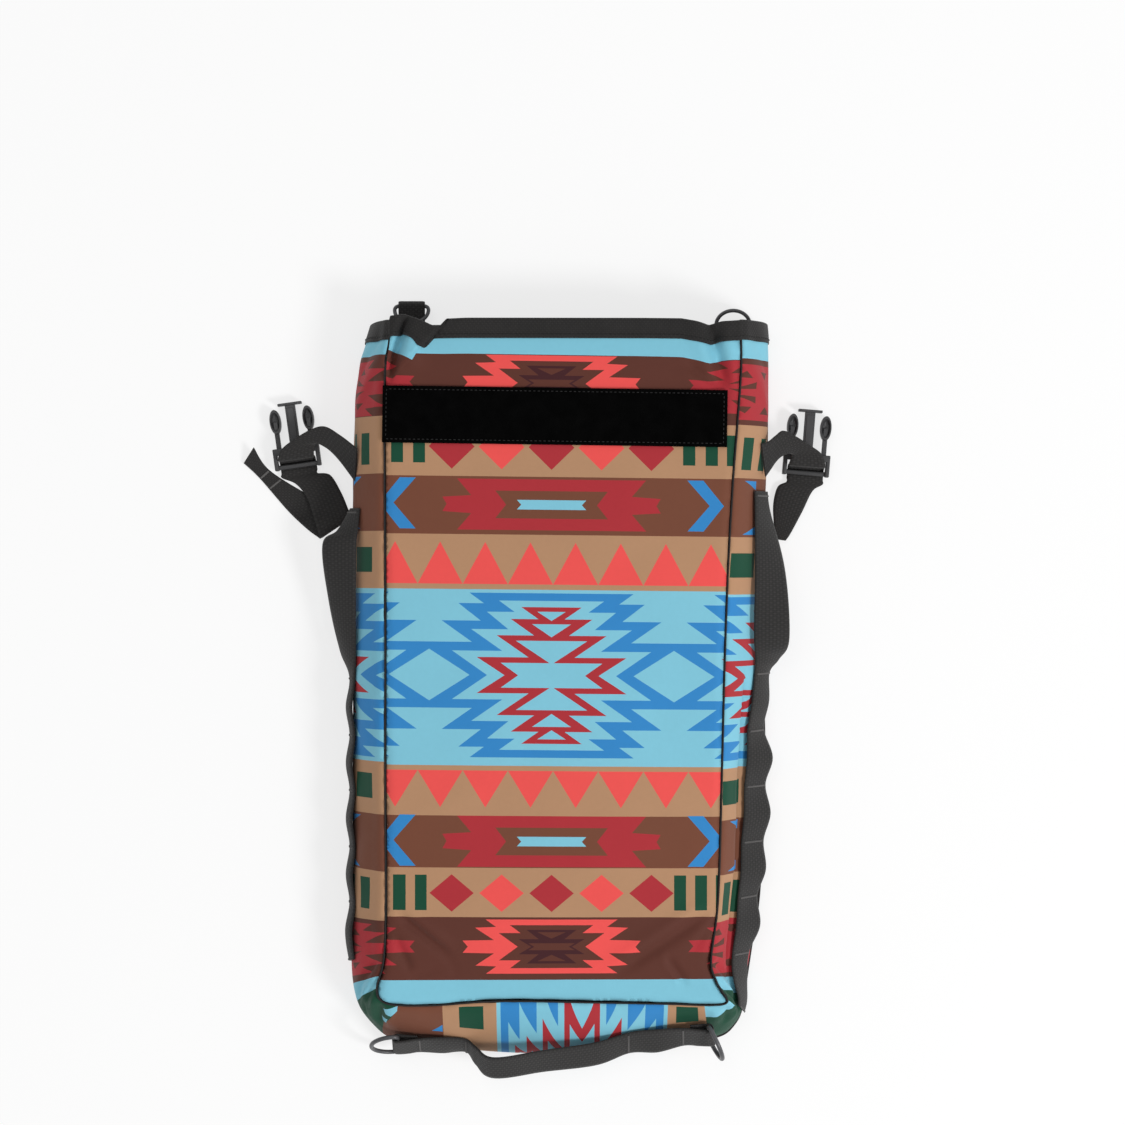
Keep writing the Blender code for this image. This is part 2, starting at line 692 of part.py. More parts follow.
def ring_path(half_bar, depth):
    """A D in the XY plane: the bar on the X axis and the bow towards +Y."""
    corner = 3.0
    points = [Vector((-half_bar + corner, 0, 0)), Vector((half_bar - corner, 0, 0))]
    for i in range(1, 4):
        angle = math.radians(-90 + 90 * i / 3)
        points.append(Vector((half_bar - corner + corner * math.cos(angle), corner + corner * math.sin(angle), 0)))
    for i in range(1, 12):
        angle = math.pi * i / 12
        points.append(Vector((half_bar * math.cos(angle), corner + (depth - corner) * math.sin(angle), 0)))
    for i in range(0, 3):
        angle = math.radians(180 + 90 * i / 3)
        points.append(Vector((-half_bar + corner + corner * math.cos(angle), corner + corner * math.sin(angle), 0)))
    return points


def axes_matrix(origin, x_axis, y_axis):
    """A placing with its X axis exactly along x_axis and its Y axis towards y_axis."""
    x = x_axis.normalized()
    z = x.cross(y_axis).normalized()
    y = z.cross(x)
    matrix = Matrix((x, y, z)).transposed().to_4x4()
    matrix.translation = origin * MM
    return matrix


def add_ring(collection, name, shape, origin, bar, bow):
    obj = add_tube(
        collection, name, ring_path(shape["half_bar"], shape["depth"]), shape["wire"], "ring", closed=True
    )
    obj.matrix_world = axes_matrix(origin, bar, bow)
    return obj


def gusset_bar(ring_at, distance):
    """The middle and direction of a bar across the gusset at a distance, as far up as the ring's own."""
    s = station_at(distance)
    w_upper = BOTTOM_UPPER[ring_at]
    w_lower = lower_share(s, w_upper, BAR_LIFT, BAR_LIFT)
    top, bottom = gusset_edge(s, w_upper, BAR_LIFT), gusset_edge(s, w_lower, BAR_LIFT)
    return (top + bottom) / 2, top - bottom


def add_bottom_rings(collection):
    for name, ring_at, way, lean in (
        ("bottom_left_ring", LEFT_RING_AT, -1, 0.25),
        ("bottom_right_ring", RIGHT_RING_AT, 1, 3.5),
    ):
        middle, bar = gusset_bar(ring_at, ring_at)
        behind, _ = gusset_bar(ring_at, ring_at - way * 4)
        bow = (middle - behind).normalized() + gusset_normal(station_at(ring_at), 0.6) * lean
        add_ring(collection, name, BIG_RING, middle, bar, bow)


TAB_LOW_Z = back_height(MOUTH_Y) + BINDING_SLOT + BINDING_WALL + GAP + WEBBING / 2
TAB_BAR_Z = TAB_LOW_Z + BAR_LOOP
TABS = (
    {"name": "top_left", "x": -99.0, "bar_y": 257.0, "bow": Vector((0.12, -1.0, 0.42))},
    {"name": "top_right", "x": 121.5, "bar_y": 241.0, "bow": Vector((0.1, 1.0, 0.25))},
)


def add_top_tabs(collection):
    """A short tab inside each corner of the mouth, folded round the bar of a small ring."""
    for tab in TABS:
        x, bar_y = tab["x"], tab["bar_y"]
        start_y = bar_y - 30
        path = [(start_y, TAB_LOW_Z), (start_y + 12, TAB_LOW_Z), (bar_y - 6, TAB_LOW_Z)]
        for i in range(7):
            angle = math.radians(-90 + 180 * i / 6)
            path.append((bar_y + BAR_LOOP * math.cos(angle), TAB_BAR_Z + BAR_LOOP * math.sin(angle)))
        doubled = TAB_LOW_Z + WEBBING + 2 * GAP
        path += [(bar_y - 7, doubled + 1.6), (bar_y - 16, doubled), (start_y, doubled)]
        half = TAB_WIDTH / 2
        rails = [[Vector((x + side * half, y, z)) for y, z in path] for side in (-1, 1)]
        ribbon(collection, f"{tab['name']}_tab", rails, 36, across=1)
        origin = Vector((x, bar_y, TAB_BAR_Z))
        add_ring(collection, f"{tab['name']}_ring", SMALL_RING, origin, Vector((1, 0, 0)), tab["bow"])


def box_mesh(low, high):
    """A box between two corners, in millimetres."""
    mesh = bmesh.new()
    bmesh.ops.create_cube(mesh, size=1.0)
    low, high = Vector(low), Vector(high)
    for vertex in mesh.verts:
        share = vertex.co + Vector((0.5, 0.5, 0.5))
        vertex.co = Vector([low[i] + (high[i] - low[i]) * share[i] for i in range(3)]) * MM
    return mesh


def rod_mesh(radius, half_length):
    """A round bar along X through the origin."""
    mesh = bmesh.new()
    bmesh.ops.create_cone(
        mesh, cap_ends=True, segments=20, radius1=radius * MM, radius2=radius * MM, depth=2 * half_length * MM
    )
    bmesh.ops.rotate(mesh, verts=mesh.verts, cent=(0, 0, 0), matrix=Matrix.Rotation(math.pi / 2, 3, "Y"))
    return mesh


def paddle_mesh(x):
    """The rounded end of a prong."""
    mesh = bmesh.new()
    bmesh.ops.create_cone(mesh, cap_ends=True, segments=20, radius1=1.0, radius2=1.0, depth=2.0)
    for vertex in mesh.verts:
        vertex.co.x = (x + vertex.co.x * PADDLE_WIDTH / 2) * MM
        vertex.co.y = (PADDLE_CENTRE + vertex.co.y * PADDLE_LENGTH / 2) * MM
        vertex.co.z = vertex.co.z * LADDER_HALF_HEIGHT * MM
    return mesh


def buckle_pieces():
    """The solids whose union is one buckle half, with its rear bar on the X axis and its prongs along +Y."""
    half = BUCKLE_WIDTH / 2
    tall, low = LADDER_HALF_HEIGHT, BUCKLE_LOW_HALF_HEIGHT
    pieces = [box_mesh((-half, CROSSBAR_START, -tall), (half, LADDER_LENGTH, tall))]
    for side in (-1, 1):
        rail = sorted((side * half, side * (half - LADDER_RAIL)))
        pieces.append(box_mesh((rail[0], -2.0, -tall + 0.1), (rail[1], LADDER_LENGTH - 0.6, tall - 0.1)))
        stem = PRONG_OFFSET * side
        pieces.append(
            box_mesh(
                (stem - PRONG_STEM / 2, LADDER_LENGTH - 2, -low),
                (stem + PRONG_STEM / 2, PADDLE_CENTRE, low),
            )
        )
        pieces.append(paddle_mesh(stem))
    pieces.append(rod_mesh(BUCKLE_BAR_RADIUS, half - 1.0))
    pieces.append(box_mesh((-GUIDE_WIDTH / 2, LADDER_LENGTH - 2, -low), (GUIDE_WIDTH / 2, GUIDE_END, low)))
    pieces.append(
        box_mesh((-HEAD_WIDTH / 2, GUIDE_END - 1.2, -tall + 0.3), (HEAD_WIDTH / 2, GUIDE_END + 0.6, tall - 0.3))
    )
    return pieces


def add_buckle(collection, helpers, name, placing):
    """A male buckle half moulded in one piece."""
    pieces = buckle_pieces()
    obj = add_object(collection, name, finish_mesh(pieces[0], name), ["buckle"])
    forward = Vector((*placing["forward"], 0))
    across = Vector((forward.y, -forward.x, 0))
    obj.matrix_world = axes_matrix(Vector(placing["bar"]), across, forward)
    for i, piece in enumerate(pieces[1:]):
        helper = bpy.data.objects.new(f"{name}_piece_{i}", finish_mesh(piece, f"{name}_piece_{i}"))
        helpers.objects.link(helper)
        helper.matrix_world = obj.matrix_world
        helper.hide_render = True
        helper.display_type = "WIRE"
        union = obj.modifiers.new(f"join {i}", "BOOLEAN")
        union.operation = "UNION"
        union.object = helper
    return obj


def thread(placing, side):
    """The strap's edge through the ladder: down the slot, under the rear bar and away from the prongs."""
    forward = Vector((*placing["forward"], 0))
    across = Vector((forward.y, -forward.x, 0))
    bar = Vector(placing["bar"])
    under = BUCKLE_BAR_RADIUS + GAP + WEBBING / 2 + 0.1
    path = ((5.4, 9.0), (4.8, 4.0), (4.2, 0.4), (2.4, -1.9), (0.0, -under), (-4.0, -under), (-7.0, -under))
    edge = bar + across * side * (WEBBING_WIDTH / 2)
    return [edge + forward * y + Vector((0, 0, z)) for y, z in path]


def add_left_strap(collection):
    """The strap from the bag's left side through its buckle, down to a fold and up to a hemmed end."""
    outer = [
        Vector(p)
        for p in (
            (-137.5, 160, 37),
            (-146, 167, 32),
            (-157.4, 173.4, 27),
            (-168, 171, 23.5),
            (-180, 164, 20),
            (-187.5, 158, 17),
        )
    ]
    inner = [
        Vector(p)
        for p in (
            (-139.5, 138, 28),
            (-146, 149, 26),
            (-153, 156.5, 24.5),
            (-158.5, 160.5, 23.0),
            (-162.5, 162.5, 21),
            (-165, 161, 17.5),
        )
    ]
    outer += thread(LEFT_BUCKLE, -1)
    inner += thread(LEFT_BUCKLE, 1)
    outer += [
        Vector(p)
        for p in (
            (-179, 135, 3.4),
            (-171.5, 126, 4.4),
            (-167, 114, 5.2),
            (-163.5, 102, 5.4),
            (-162.5, 98, 4.0),
            (-164, 98.5, 1.6),
            (-172, 104.5, 1.0),
            (-185, 117, 1.0),
            (-204, 139, 1.0),
            (-215, 149.5, 1.2),
        )
    ]
    inner += [
        Vector(p)
        for p in (
            (-155, 141, 4.0),
            (-147.5, 129, 5.6),
            (-143, 118.5, 6.2),
            (-141, 114, 6.0),
            (-141, 112, 4.2),
            (-143.5, 112.8, 1.8),
            (-153, 119.5, 1.2),
            (-171, 128, 1.2),
            (-197.5, 144.8, 2.6),
            (-207.5, 160, 8.0),
        )
    ]
    ribbon(collection, "left_buckle_strap", (outer, inner), 72)


def add_right_strap(collection):
    """The strap from the bag's right side through its buckle, ending beside the handle loop."""
    outer = [
        Vector(p)
        for p in (
            (138.5, 161, 39),
            (144, 163, 35),
            (149, 167, 31),
            (154.5, 170.5, 28),
            (163, 167, 24.5),
            (173, 161, 20.5),
            (181.5, 155, 16.5),
        )
    ]
    inner = [
        Vector(p)
        for p in (
            (142.0, 139, 32),
            (145.5, 144, 31),
            (149.0, 149, 29),
            (152.5, 152.5, 26.5),
            (156, 154.5, 23.5),
            (159, 155.5, 20.5),
            (161, 154.5, 17),
        )
    ]
    outer += thread(RIGHT_BUCKLE, 1)
    inner += thread(RIGHT_BUCKLE, -1)
    outer += [Vector(p) for p in ((176.5, 130, 2.8), (169.5, 116, 2.8), (161.5, 101, 2.8), (158, 96, 2.8))]
    inner += [Vector(p) for p in ((152.5, 133, 2.8), (149.5, 121, 2.8), (150.0, 106, 2.8), (151.0, 97, 2.8))]
    ribbon(collection, "right_buckle_strap", (outer, inner), 64)


def main():
    clear_scene()
    bag = new_collection("shovel_bag")
    helpers = new_collection("helpers")
    helpers.hide_render = True
    add_front_panel(bag)
    add_back_panel(bag)
    add_gusset(bag)
    add_seams(bag)
    add_binding(bag)
    add_loop_strip(bag)
    add_side_webbing(bag)
    add_bottom_webbing(bag)
    add_bottom_rings(bag)
    add_top_tabs(bag)
    add_buckle(bag, helpers, "left_buckle", LEFT_BUCKLE)
    add_buckle(bag, helpers, "right_buckle", RIGHT_BUCKLE)
    add_left_strap(bag)
    add_right_strap(bag)


if __name__ == "__main__":
    main()
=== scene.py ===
"""Shovel bag of printed cloth: its finished surfaces, laid out as a Blender add-on.

Lengths are millimetres in the bag's own frame, and MM turns them into Blender's metres.
"""

import math

import bmesh
import bpy
import numpy as np
from mathutils import Matrix, Vector, noise
from mathutils.geometry import delaunay_2d_cdt


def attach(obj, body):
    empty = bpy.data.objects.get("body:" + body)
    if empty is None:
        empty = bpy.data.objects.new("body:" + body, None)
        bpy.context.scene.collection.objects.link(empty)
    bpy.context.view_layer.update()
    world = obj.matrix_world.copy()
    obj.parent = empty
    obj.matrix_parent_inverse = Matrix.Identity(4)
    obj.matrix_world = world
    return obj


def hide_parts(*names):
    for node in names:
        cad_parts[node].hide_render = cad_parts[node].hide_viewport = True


bl_info = {
    "name": "Shovel bag",
    "version": (1, 0, 0),
    "blender": (4, 5, 0),
    "location": "View3D > Sidebar > Shovel bag",
    "description": "A printed cloth bag with webbing, buckle halves and rings, and a studio to show it in",
    "category": "Add Mesh",
}

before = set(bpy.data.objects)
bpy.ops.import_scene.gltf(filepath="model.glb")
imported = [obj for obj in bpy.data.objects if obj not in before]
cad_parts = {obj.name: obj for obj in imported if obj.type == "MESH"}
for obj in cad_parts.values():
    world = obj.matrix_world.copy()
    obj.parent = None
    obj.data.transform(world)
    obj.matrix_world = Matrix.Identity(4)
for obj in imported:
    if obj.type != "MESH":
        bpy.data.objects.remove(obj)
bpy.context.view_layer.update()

MM = 0.001

# Cloth, webbing and seams
CLOTH = 1.2
BACK_CLOTH = 1.4
WEBBING = 1.4
WEBBING_WIDTH = 25.0
GAP = 0.3
SEAM_RADIUS = 0.6
SEAM_MARGIN = 1.0

# Mouth: its edge, where the cloth ends under the binding, the binding and the way the front lip runs
MOUTH_Y = 243.5
CLOTH_TOP = 242.0
BINDING_DEPTH = 12.5
BINDING_OUT = 1.5
TAPE = 0.8
LIP = (
    (-76.0, -0.4), (-60.0, 0.0), (60.0, -0.2), (84.0, -0.4), (94.0, -2.2), (102.5, -4.6), (111.0, -2.4),
    (122.0, -1.6), (142.0, -1.6),
)
FLAP_LIP = ((-124.0, 0.0), (-112.0, 1.2), (-101.0, 2.6), (-92.0, -0.8), (-83.0, -5.0), (-76.0, -6.2))
LIP_FADE = (26.0, 50.0)
# The tuck in the lip: the cloth to the left of this line is a flap over the cloth to its right
TUCK_LINE = ((-76.5, 240.0), (-108.0, 206.0))
TUCK_STEP = 3.4
TUCK_SLANT = 0.3
PRINT_SLANT = 0.55

# The front panel is domed, and the back lip is lifted by its binding
CROWN = 3.0
STRIP_CROWN = 1.0
BACK_LIFT = 1.4
BACK_LIFT_FROM = 214.0
BACK_LIFT_TO = 229.0
INSIDE_BAG = (5.0, 15.0, 30.0)

# Gusset stations from the mouth's left side, round the bottom, to its right side.
# Each holds the front seam, the ridge where the gusset is fullest and the back seam.
GUSSET_STATIONS = (
    ((-111, 244, 56), (-122.5, 244, 28), (-125, 244, 3.3)),
    ((-112, 228, 57), (-127.8, 228, 28), (-128, 228, 3.3)),
    ((-114, 212, 58), (-132, 212, 28), (-130.5, 212, 3.3)),
    ((-114.5, 170, 58), (-135.5, 170, 28), (-133, 170, 3.3)),
    ((-114, 60, 58), (-136.5, 60, 28), (-133, 60, 3.3)),
    ((-114, -60, 58), (-136.5, -60, 28), (-133, -60, 3.3)),
    ((-113.5, -145, 58), (-136.5, -145, 28), (-133, -145, 3.3)),
    ((-115, -184, 56), (-137, -190, 27), (-134, -192, 3.3)),
    ((-120, -204, 52), (-134, -216, 25), (-131, -222, 3.3)),
    ((-117, -213, 50), (-124, -231, 23), (-122, -238, 3.3)),
    ((-106, -216, 50), (-109, -239, 23), (-108, -247, 3.3)),
    ((-80, -216, 50), (-80, -242, 24), (-80, -250, 3.3)),
    ((-37, -213, 52), (-37, -248, 24), (-37, -252, 3.3)),
    ((30, -214, 52), (30, -247, 24), (30, -252, 3.3)),
    ((75, -215, 51), (75, -241, 23), (75, -249, 3.3)),
    ((104, -216, 50), (108, -236, 22), (110, -245, 3.3)),
    ((115, -214, 50.5), (121, -229, 23), (122.5, -236, 3.3)),
    ((112, -207, 52), (125, -218, 24), (128, -223, 3.3)),
    ((107, -198, 54), (123, -203, 26), (130.5, -205, 3.3)),
    ((104, -184, 56), (122, -184, 27), (133.5, -185, 3.3)),
    ((108.5, -144, 58), (126, -144, 27), (139.5, -144, 3.3)),
    ((111, -64, 58), (131, -64, 27), (143, -64, 3.3)),
    ((113, 16, 58), (135, 16, 28), (141.5, 16, 3.3)),
    ((115.5, 83, 58), (138, 83, 28), (142, 83, 3.3)),
    ((118.5, 136, 58), (139.5, 136, 28), (141.5, 136, 3.3)),
    ((121.5, 175, 58), (143, 175, 28), (140, 175, 3.3)),
    ((124, 212, 58), (143, 212, 28), (140, 212, 3.3)),
    ((123.5, 244, 56), (141, 244, 28), (139, 244, 3.3)),
)
LAST_STATION = len(GUSSET_STATIONS) - 1
GUSSET_WIDTH = 68.0

# Loop strip across the front
STRIP_WIDTH = 230.0
STRIP_HEIGHT = 38.0
STRIP_THICKNESS = 1.6
STRIP_CENTRE = (-0.6, 178.5)
STRIP_TILT = math.radians(-0.8)
STRIP_TOP = 61.5
STITCH_INSET = 2.4
PILE_STEP = 1.0

# How far the front cloth dips at its seam
SEAM_DIP = 1.5

# Spacing of the cloth meshes and of the thread stitches
CLOTH_STEP = 2.6
PLAIN_STEP = 12.0
BACK_STEP = 4.0
STITCH = 3.0
STITCH_GAP = 1.1
THREAD = 0.28


def catmull(a, b, c, d, t):
    return 0.5 * (2 * b + (c - a) * t + (2 * a - 5 * b + 4 * c - d) * t * t + (3 * b - a - 3 * c + d) * t ** 3)


def along(values, t):
    """The smooth curve through the rows of values, at each t counted in rows from the first."""
    values = np.asarray(values, float)
    last = len(values) - 1
    t = np.clip(np.asarray(t, float), 0, last)
    i = np.minimum(t.astype(int), last - 1)
    ends = [values[np.clip(i + k, 0, last)] for k in (-1, 0, 1, 2)]
    share = (t - i)[..., None] if values.ndim > 1 else t - i
    return catmull(*ends, share)


def smooth_step(x, low, high):
    t = np.clip((np.asarray(x, float) - low) / (high - low), 0, 1)
    return t * t * (3 - 2 * t)


def unit(v):
    return v / np.maximum(np.linalg.norm(v, axis=-1, keepdims=True), 1e-9)


def run_lengths(points):
    """How far along the line each of its points lies."""
    return np.concatenate([[0.0], np.cumsum(np.linalg.norm(np.diff(points, axis=0), axis=1))])


def place_along(line, run, at):
    """The place at a length along a line, whose points lie at the lengths in run."""
    return np.array([np.interp(at, run, line[:, k]) for k in range(3)])


def beside(x, y, start, end):
    """How far each point is along a line, as a share of its length, and how far off to its side."""
    (x0, y0), (x1, y1) = start, end
    run = np.array((x1 - x0, y1 - y0))
    length = np.hypot(*run)
    share = ((x - x0) * run[0] + (y - y0) * run[1]) / length ** 2
    return share, ((x - x0) * run[1] - (y - y0) * run[0]) / length


FRONT_SEAM, RIDGE, BACK_SEAM = (np.array([s[k] for s in GUSSET_STATIONS], float) for k in range(3))
STATION_AT = np.arange(LAST_STATION * 20 + 1) / 20
RIDGE_POINTS = along(RIDGE, STATION_AT)
LENGTH_AT = run_lengths(RIDGE_POINTS)
RIDGE_LENGTH = float(LENGTH_AT[-1])
LOWEST = int(np.argmin(RIDGE_POINTS[:, 1]))


def station_at(distance):
    return np.interp(distance, LENGTH_AT, STATION_AT)


def left_distance(y):
    """Distance along the ridge where its left side passes y."""
    half = slice(0, LOWEST)
    return np.interp(-np.asarray(y, float), -RIDGE_POINTS[half, 1], LENGTH_AT[half])


def right_distance(y):
    """Distance along the ridge where its right side passes y."""
    half = slice(LOWEST + 1, None)
    return np.interp(y, RIDGE_POINTS[half, 1], LENGTH_AT[half])


def bottom_distance(x):
    """Distance along the ridge where the bottom passes x."""
    half = (RIDGE_POINTS[:, 1] < -225)
    return np.interp(x, RIDGE_POINTS[half, 0], LENGTH_AT[half])


def gusset_middle(s, w):
    """The middle of the gusset cloth at station s, from the front seam at w = 0 to the back seam at w = 1."""
    front, ridge, back = along(FRONT_SEAM, s), along(RIDGE, s), along(BACK_SEAM, s)
    front = front + unit(ridge - front) * SEAM_MARGIN
    w = np.asarray(w, float)[..., None]
    return front * (2 * (w - 0.5) * (w - 1)) + ridge * (4 * w * (1 - w)) + back * (2 * w * (w - 0.5))


def gusset_normal(s, w):
    """The way out of the bag, square to the gusset."""
    step = 0.02
    s, w = np.asarray(s, float), np.asarray(w, float)
    down = gusset_middle(s, np.minimum(w + step, 1)) - gusset_middle(s, np.maximum(w - step, 0))
    ahead = np.minimum(s + step, LAST_STATION)
    behind = np.maximum(s - step, 0)
    normal = unit(np.cross(down, gusset_middle(ahead, w) - gusset_middle(behind, w)))
    facing = np.sum(normal * (gusset_middle(s, w) - np.array(INSIDE_BAG)), axis=-1, keepdims=True)
    return np.where(facing > 0, normal, -normal)


def above_gusset(s, w, lift):
    """The place at station s and share w across, lifted off the gusset's middle."""
    return gusset_middle(s, w) + gusset_normal(s, w) * np.asarray(lift, float)[..., None]


def on_gusset(distance, across, lift):
    """The place at a distance along the gusset and across it, lifted off its middle."""
    return above_gusset(station_at(distance), np.clip(np.asarray(across, float) / GUSSET_WIDTH, 0, 1), lift)


def lip_drop(x, y=MOUTH_Y):
    """How far the front lip lies above or below the mouth's line, or the print below it at y."""
    depth = MOUTH_Y - np.asarray(y, float)
    flap_x = x + TUCK_SLANT * depth + PRINT_SLANT * np.maximum(depth - BINDING_DEPTH, 0)
    on_flap = (beside(x, y, *TUCK_LINE)[1] > 0) & (np.asarray(x) < 0)
    return np.where(on_flap, np.interp(flap_x, *zip(*FLAP_LIP)), np.interp(x, *zip(*LIP)))


def cloth_shift(x, y):
    """How far the print and the cloth edge move along Y with the folds of the lip."""
    return lip_drop(x, y) * (1 - smooth_step(MOUTH_Y - np.asarray(y, float), *LIP_FADE))


def seam_side(side):
    points = FRONT_SEAM[(FRONT_SEAM[:, 0] * side > 100) & (FRONT_SEAM[:, 1] > -200)]
    return points[np.argsort(points[:, 1])]


LEFT_SIDE, RIGHT_SIDE = seam_side(-1), seam_side(1)
BOTTOM_EDGE = FRONT_SEAM[FRONT_SEAM[:, 1] < -195]


def sides_at(y):
    """X of the front's left and right seams."""
    return [np.interp(y, side[:, 1], side[:, 0]) for side in (LEFT_SIDE, RIGHT_SIDE)]


def seam_height(y):
    """Height of the side seams, which sink a little at the mouth and more at the bottom."""
    y = np.asarray(y, float)
    return 56 + 2 * smooth_step(-y, -244, -212) - 8 * smooth_step(-y, 150, 216)


# Folds of the front cloth: start, end, width and height, where a valley has a negative height
FRONT_FOLDS = (
    ((-101.0, 240.0), (-112.0, 207.0), 3.4, -10.0),
    ((-97.0, 240.0), (-97.0, 214.0), 8.0, 2.8),
    ((89.5, 211.5), (109.5, 197.5), 2.0, -1.9),
    ((86.0, 208.0), (102.0, 196.0), 3.0, 0.9),
    ((107.5, 217.0), (114.5, 194.0), 1.7, -1.3),
    ((102.0, 242.0), (113.0, 199.0), 4.2, -4.2),
    ((93.0, 238.0), (104.0, 204.0), 5.5, 1.5),
    ((112.0, 240.0), (119.0, 206.0), 4.5, 1.8),
    ((111.0, 238.0), (104.0, 222.0), 3.0, -1.6),
    ((-100.0, -158.0), (-76.0, -178.0), 2.6, -3.4),
    ((-97.0, -153.5), (-73.0, -173.0), 3.6, 1.8),
    ((-106.0, -172.0), (-98.0, -190.0), 2.4, -2.8),
    ((-95.0, -196.0), (-76.0, -190.0), 2.4, -0.8),
    ((-112.0, -173.0), (-104.0, -186.0), 2.6, -1.0),
    ((-76.0, -174.0), (-66.0, -196.0), 3.0, -0.6),
    ((94.0, -158.0), (46.0, -190.0), 4.2, -3.0),
    ((90.0, -152.0), (42.0, -183.0), 5.0, 1.6),
    ((76.0, -186.0), (86.0, -200.0), 2.4, -2.6),
    ((72.0, -184.0), (82.0, -200.0), 2.2, 0.9),
    ((104.0, -160.0), (92.0, -178.0), 2.4, -1.0),
    ((-108.0, 20.0), (-60.0, 5.0), 9.0, -0.5),
    ((60.0, -20.0), (108.0, -45.0), 10.0, -0.5),
    ((-108.0, -95.0), (-50.0, -70.0), 9.0, 0.5),
    ((20.0, 140.0), (100.0, 120.0), 12.0, 0.4),
)


def fold_heights(x, y, folds):
    total = np.zeros_like(x)
    for start, end, width, height in folds:
        share, away = beside(x, y, start, end)
        ends = smooth_step(share, -0.35, 0.15) * (1 - smooth_step(share, 0.75, 1.3))
        total += height * np.exp(-((away / width) ** 2)) * ends
    return total


def tuck_height(x, y):
    """A low wall along the tuck, where the upper layer ends."""
    share, side = beside(x, y, *TUCK_LINE)
    above = smooth_step(side, -0.25, 0.25) * np.exp(-np.maximum(side, 0) / 16.0)
    return np.where(x < 0, TUCK_STEP * above * (1 - smooth_step(share, 0.45, 1.0)), 0.0)


def rumple(x, y, size, seed):
    """Soft unevenness between -1 and 1 at each point."""
    return np.array([noise.noise(Vector((a / size, b / size, seed))) for a, b in zip(x, y)])


def front_middle(x, y):
    """The height of the front cloth's middle before its folds."""
    left, right = sides_at(y)
    across = (2 * x - left - right) / (right - left)
    crown = CROWN + (STRIP_CROWN - CROWN) * smooth_step(y, 90, 150)
    return seam_height(y) + crown * np.maximum(1 - across * across, 0) * smooth_step(y, -214, -150)


def under_strip(x, y):
    """1 where the stiff loop strip holds the cloth flat, falling to 0 around it."""
    u, v = np.abs(x - STRIP_CENTRE[0]) - STRIP_WIDTH / 2, np.abs(y - STRIP_CENTRE[1]) - STRIP_HEIGHT / 2
    return 1 - smooth_step(np.maximum(u, v), -3, 5)


# Print. X is measured from the print's own middle line, and each figure from its own middle.
PRINT_X = -2.8
FIELD_Y = 5.6
FIELD_PITCH = 163.3
UPPER_BAND_Y = 119.3
LOWER_BAND_Y = -105.0
TOP_FIGURE_Y = 200.5
BOTTOM_FIGURE_Y = -175.5
LIP_PRINT_Y = 190.0
TRIANGLE_PITCH = 30.1
DIAMOND_PITCH = 33.3
TRIANGLE_HALF = 15.0
TRIANGLES = 8
INKS = ("light_blue", "blue", "coral", "dark_red", "tan", "brown", "dark_brown", "maroon", "green")
# How far the print lies askew on the front: Y, and how much lower its right side is for each millimetre across
PRINT_TILTS = ((-215.0, -0.006), (-160.0, 0.001), (-60.0, 0.008), (60.0, 0.010), (240.0, 0.014))
# The ground of each band runs past the cloth on every side
PRINT_TOP = 262.0
ACROSS_FRONT = (-150.0, 160.0)
ACROSS_GUSSET = (-2, 80)

# Lower edge of each band of the front, from the mouth down
FRONT_BANDS = (
    (219.6, "light_blue"),
    (174.0, "dark_brown"),
    (138.0, "tan"),
    (99.3, "brown"),
    (62.7, "tan"),
    (-54.7, "light_blue"),
    (-88.0, "tan"),
    (-122.6, "brown"),
    (-155.4, "tan"),
    (-198.4, "dark_brown"),
    (-240.0, "light_blue"),
)
# The same bands on the gusset's left and right sides
LEFT_BANDS = (
    (220.0, "light_blue"), (179.0, "dark_brown"), (140.6, "tan"),
    (102.2, "brown"), (63.8, "tan"), (-52.0, "light_blue"), (-87.2, "tan"), (-125.0, "brown"), (-159.3, "tan"),
    (-204.5, "dark_brown"), (-216.0, "light_blue"),
)
RIGHT_BANDS = (
    (217.5, "light_blue"), (173.0, "dark_brown"), (137.5, "tan"),
    (98.0, "brown"), (59.5, "tan"), (-57.0, "light_blue"), (-91.5, "tan"), (-128.1, "brown"), (-163.4, "tan"),
    (-200.0, "dark_brown"), (-212.0, "light_blue"),
)
# Right edge of each band of the gusset's bottom, from the left corner
BOTTOM_BANDS = (
    (-111.0, "green"), (-76.0, "brown"), (-39.8, "tan"), (75.2, "light_blue"), (103.0, "tan"), (128.0, "green"),
)
BOTTOM_START = -135.0
# Green bars of the bottom, and patches near its corners, in X and distance across the gusset
BOTTOM_GREEN = ((-64.9, -48.6), (81.3, 97.6))
BOTTOM_PATCHES = (
    ("blue", ((-76.5, 15.5), (-76.5, 23.0), (-84.0, 23.0))),
    ("light_blue", ((103.0, -2), (128.0, -2), (128.0, 12.0), (103.0, 12.0))),
    ("brown", ((-110.5, 5.0), (-110.0, 80.0), (-119.0, 80.0), (-117.5, 22.0))),
    ("light_blue", ((-120.0, 5.5), (-115.5, 3.0), (-109.0, 0.5), (-109.0, 4.0), (-113.0, 9.0), (-117.0, 9.5))),
    ("light_blue", ((-120.0, 16.5), (-115.0, 13.5), (-115.5, 18.5), (-118.5, 20.5))),
)
# On the gusset the print is drawn from the middle line of the figure next to the front's
GUSSET_PRINT_SCALE = 0.75
LEFT_AXIS, BOTTOM_AXIS, RIGHT_AXIS = 78.3, 57.3, 52.9
